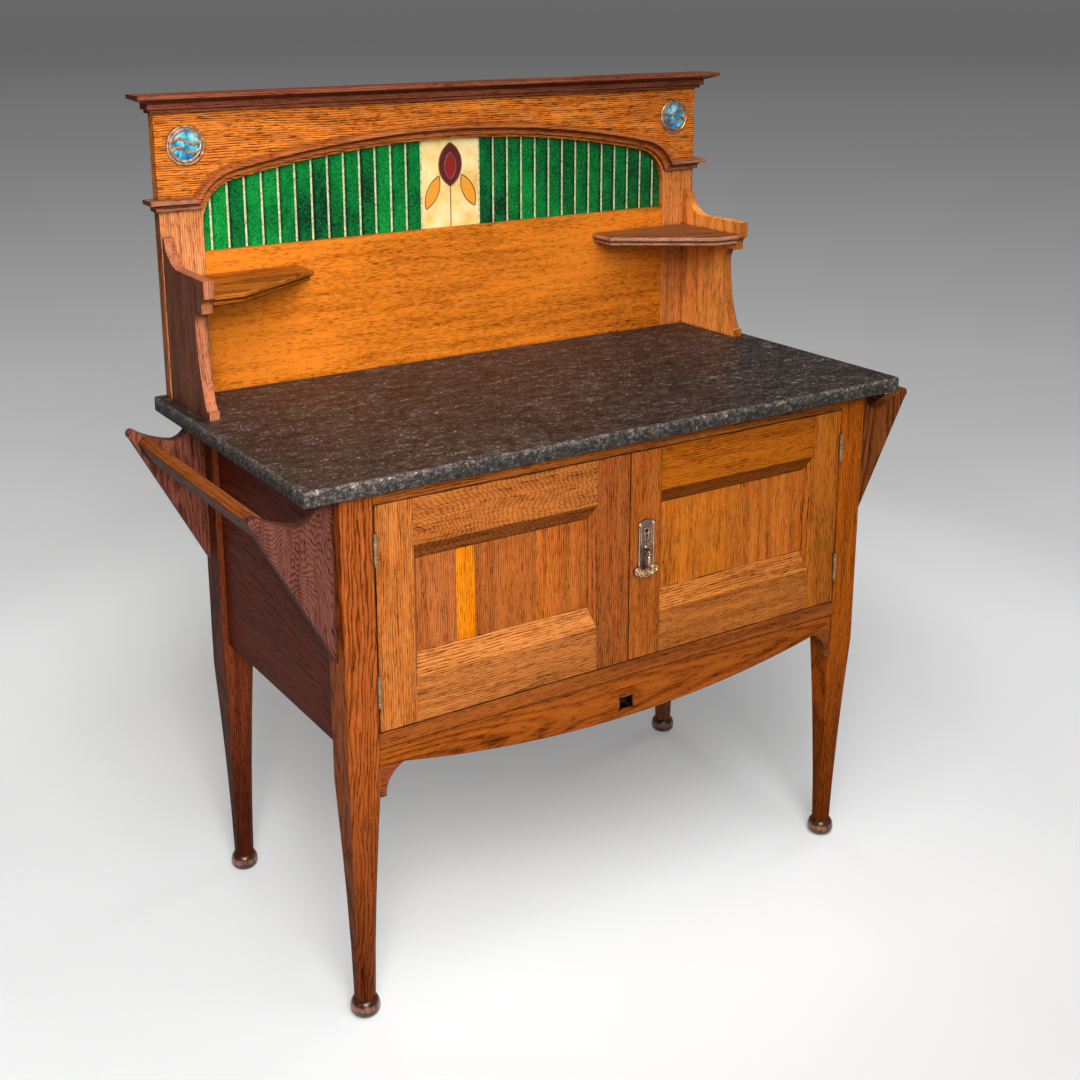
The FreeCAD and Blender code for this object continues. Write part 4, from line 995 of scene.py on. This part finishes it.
# %% Rims and keyhole
keyhole_z, key_proud, key_wire = 0.6185, 0.0003, 0.0007
key_side = ((0.0034, 0.6155), (0.0022, 0.6050))
chasing = bmesh.new()
for side in (-1, 1):
    rim_x = pull_x + side * half_w
    inner_x = pull_x + side * (half_w - inner_inset)
    wire_path(chasing, [(rim_x, plate_face, foot_line), (rim_x, plate_face, shoulder)], rim_wire)
    wire_path(chasing, [(inner_x, plate_face, waist), (inner_x, plate_face, inner_top)], inner_wire)
for height, thick in cross_wires:
    wire_path(chasing, [(pull_x - half_w, plate_face, height), (pull_x + half_w, plate_face, height)], thick)
key_ring = eased([(0.0036, 0.0), (0.0046, 0.0), (0.0046, 0.0012), (0.0036, 0.0012)], rounds=1)
turned(chasing, key_ring + key_ring[:1], (pull_x, plate_face, keyhole_z), (0, -1, 0), steps=28)
for side in (-1, 1):
    slit = [(pull_x + side * out, plate_face - key_proud, z) for out, z in key_side]
    wire_path(chasing, slit, key_wire)
print("keyhole at", keyhole_z, "m")

# %% Buttons and scrolls
button_z, scroll_y, scroll_z = 0.5938, -0.2474, 0.5595
scroll_count, scroll_half, scroll_drop, scroll_lift, scroll_bow = 5, 0.0145, 0.009, 0.0045, 0.75
ear_in, ear_proud, ear_rise = 0.001, 0.0012, 0.0005
button = eased([(0, 0.0016), (0.0016, 0.0016), (0.0030, 0.0006), (0.0034, -0.0006)])
scroll = eased([(0, 0.0020), (0.0020, 0.0020), (0.0024, 0.0004), (0.0034, 0.0004), (0.0042, 0.0014),
                (0.0060, 0.0010), (0.0062, -0.0008)])
turned(chasing, button, (pull_x, plate_face, button_z), (0, -1, 0), steps=20)
for n in range(scroll_count):
    share = 2 * n / (scroll_count - 1) - 1
    low_by = scroll_drop * math.sqrt(1 - share ** 2 * scroll_bow)
    lobe = (pull_x + scroll_half * share, scroll_y, scroll_z - low_by + scroll_lift)
    turned(chasing, scroll, lobe, (0, -1, 0), steps=24)
for side in (-1, 1):
    ear = (pull_x + side * (half_w - ear_in), plate_face - ear_proud, shoulder + ear_rise)
    turned(chasing, button, ear, (0, -1, 0), steps=18)
finished("handle_chasing", chasing, old_brass, "right_door")

# %% [markdown]
# ### Copper bands of the roundels
# The enamel lies in cells between copper bands that run across each disc as two waves, and a flat copper
# ring closes the cells. A band is a strip of squares whose rows are swung up and down, then given
# thickness.

# %% Roundel bands
band_at, band_swing, band_half, band_sag = 0.0068, 0.0042, 0.0019, 0.25
band_lift, band_crown, band_thick, band_inset = 0.0004, 0.0005, 0.0008, 0.0030
disc_r = (disc_high.z - disc_low.z) / 2
disc_face = disc_low.y
collar_in, collar_out = disc_r - 0.0042, disc_r - 0.0006
collar_top, collar_low, collar_high = disc_r - 0.0008, 0.0007, 0.0010
collar = eased([(collar_in, 0.0), (collar_in, collar_low), (collar_top, collar_high), (collar_out, 0.0)],
               rounds=1)
bands = bmesh.new()
for side in (-1, 1):
    disc_x = side * (disc_high.x - disc_r)
    turned(bands, collar + collar[:1], (disc_x, disc_face + band_lift, disc_z), (0, -1, 0), steps=56)
    for offset in (-band_at, band_at):
        made = bmesh.ops.create_grid(bands, x_segments=28, y_segments=2, size=1.0)["verts"]
        reach = math.sqrt((disc_r - band_inset) ** 2 - abs(offset) ** 2)
        for v in made:
            across, width = v.co.x, v.co.y
            swing = band_swing * math.sin(side * math.pi * across)
            v.co = (disc_x + reach * across, disc_face - band_lift - band_crown * (1 - width ** 2),
                    disc_z + offset * (1 - band_sag * across ** 2) + swing + band_half * width)
        faces = list({f for v in made for f in v.link_faces})
        bmesh.ops.solidify(bands, geom=faces, thickness=band_thick)
finished("roundel_bands", bands, copper, "carcass")

# %% [markdown]
# ### Raised lines of the centre tile
# The sprig's outlines are clay slip, squeezed on as a thin line that keeps the coloured glazes apart.
# Each outline is a wire laid along the same two arcs that the glaze follows, half sunk in the tile.

# %% Slip
slip, paint = new_finish("slip_line")
wear = cloud(paint, own_place(paint), scale=300.0, detail=3.0)
brown = ramp(paint, wear, [(0.3, linear(58, 34, 26)), (0.7, linear(134, 104, 84))])
close_finish(paint, Base_Color=brown, Roughness=0.2 + 0.2 * wear)
print("slip has", len(slip.node_tree.nodes), "nodes")

# %% Slip lines
slip_radius, stem_top, stem_inset = 0.0009, -0.0045, 0.001


def lens_arcs(lens, points=16):
    """The two arcs that bound a lens, each from its lower tip to its upper tip."""
    (at_x, at_z), radius, gap = lens
    half = math.acos(gap / radius)
    turns = [half * (2 * n / points - 1) for n in range(points + 1)]
    return [[(at_x + side * (radius * math.cos(a) - gap), at_z + radius * math.sin(a)) for a in turns]
            for side in (-1, 1)]


def leaf_place(side, u, w):
    """A point of an upright leaf, turned outwards and set beside the stem."""
    return side * (leaf_at + u * tilt_cos - w * tilt_sin), u * tilt_sin + w * tilt_cos


arcs = lens_arcs(bud_lens) + lens_arcs(heart_lens)
for side in (-1, 1):
    for arc in lens_arcs(leaf_lens):
        arcs.append([leaf_place(side, u, w) for u, w in arc])
arcs.append([(0, stem_top), (0, (tile_low.z - tile_middle.z) / sprig_scale + stem_inset)])
slip_lines = bmesh.new()
for arc in arcs:
    wire_path(slip_lines, [(tile_middle.x + sprig_scale * u, tile_low.y, tile_middle.z + sprig_scale * w)
                           for u, w in arc], slip_radius)
finished("tile_slip_lines", slip_lines, slip, "carcass")

# %% [markdown]
# ### Tongues of the back boards
# The boards of the back shrink and swell, so their edges are tongued: a thin strip fills each joint and
# keeps the light out. Each tongue starts as one flat face between two boards that is pushed out to its
# thickness.

# %% Back board tongues
board_count, tongue_half, tongue_inset = 6, 0.0025, 0.003
back_low, back_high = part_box("back_boards")
pitch = (back_high.x - back_low.x) / board_count
depth = back_high.y - back_low.y - 2 * tongue_inset
tongues = bmesh.new()
for n in range(1, board_count):
    seam_x = back_low.x + n * pitch
    left, right_side = seam_x - tongue_half, seam_x + tongue_half
    outline = ((left, back_low.z), (right_side, back_low.z), (right_side, back_high.z), (left, back_high.z))
    corners = [tongues.verts.new((x, back_low.y + tongue_inset, z)) for x, z in outline]
    pushed = bmesh.ops.extrude_face_region(tongues, geom=[tongues.faces.new(corners)])["geom"]
    far_side = [v for v in pushed if isinstance(v, bmesh.types.BMVert)]
    bmesh.ops.translate(tongues, vec=(0, depth, 0), verts=far_side)
finished("back_board_tongues", tongues, nodes["back_boards"].data.materials[0], "carcass")

# %% [markdown]

# %% [markdown]
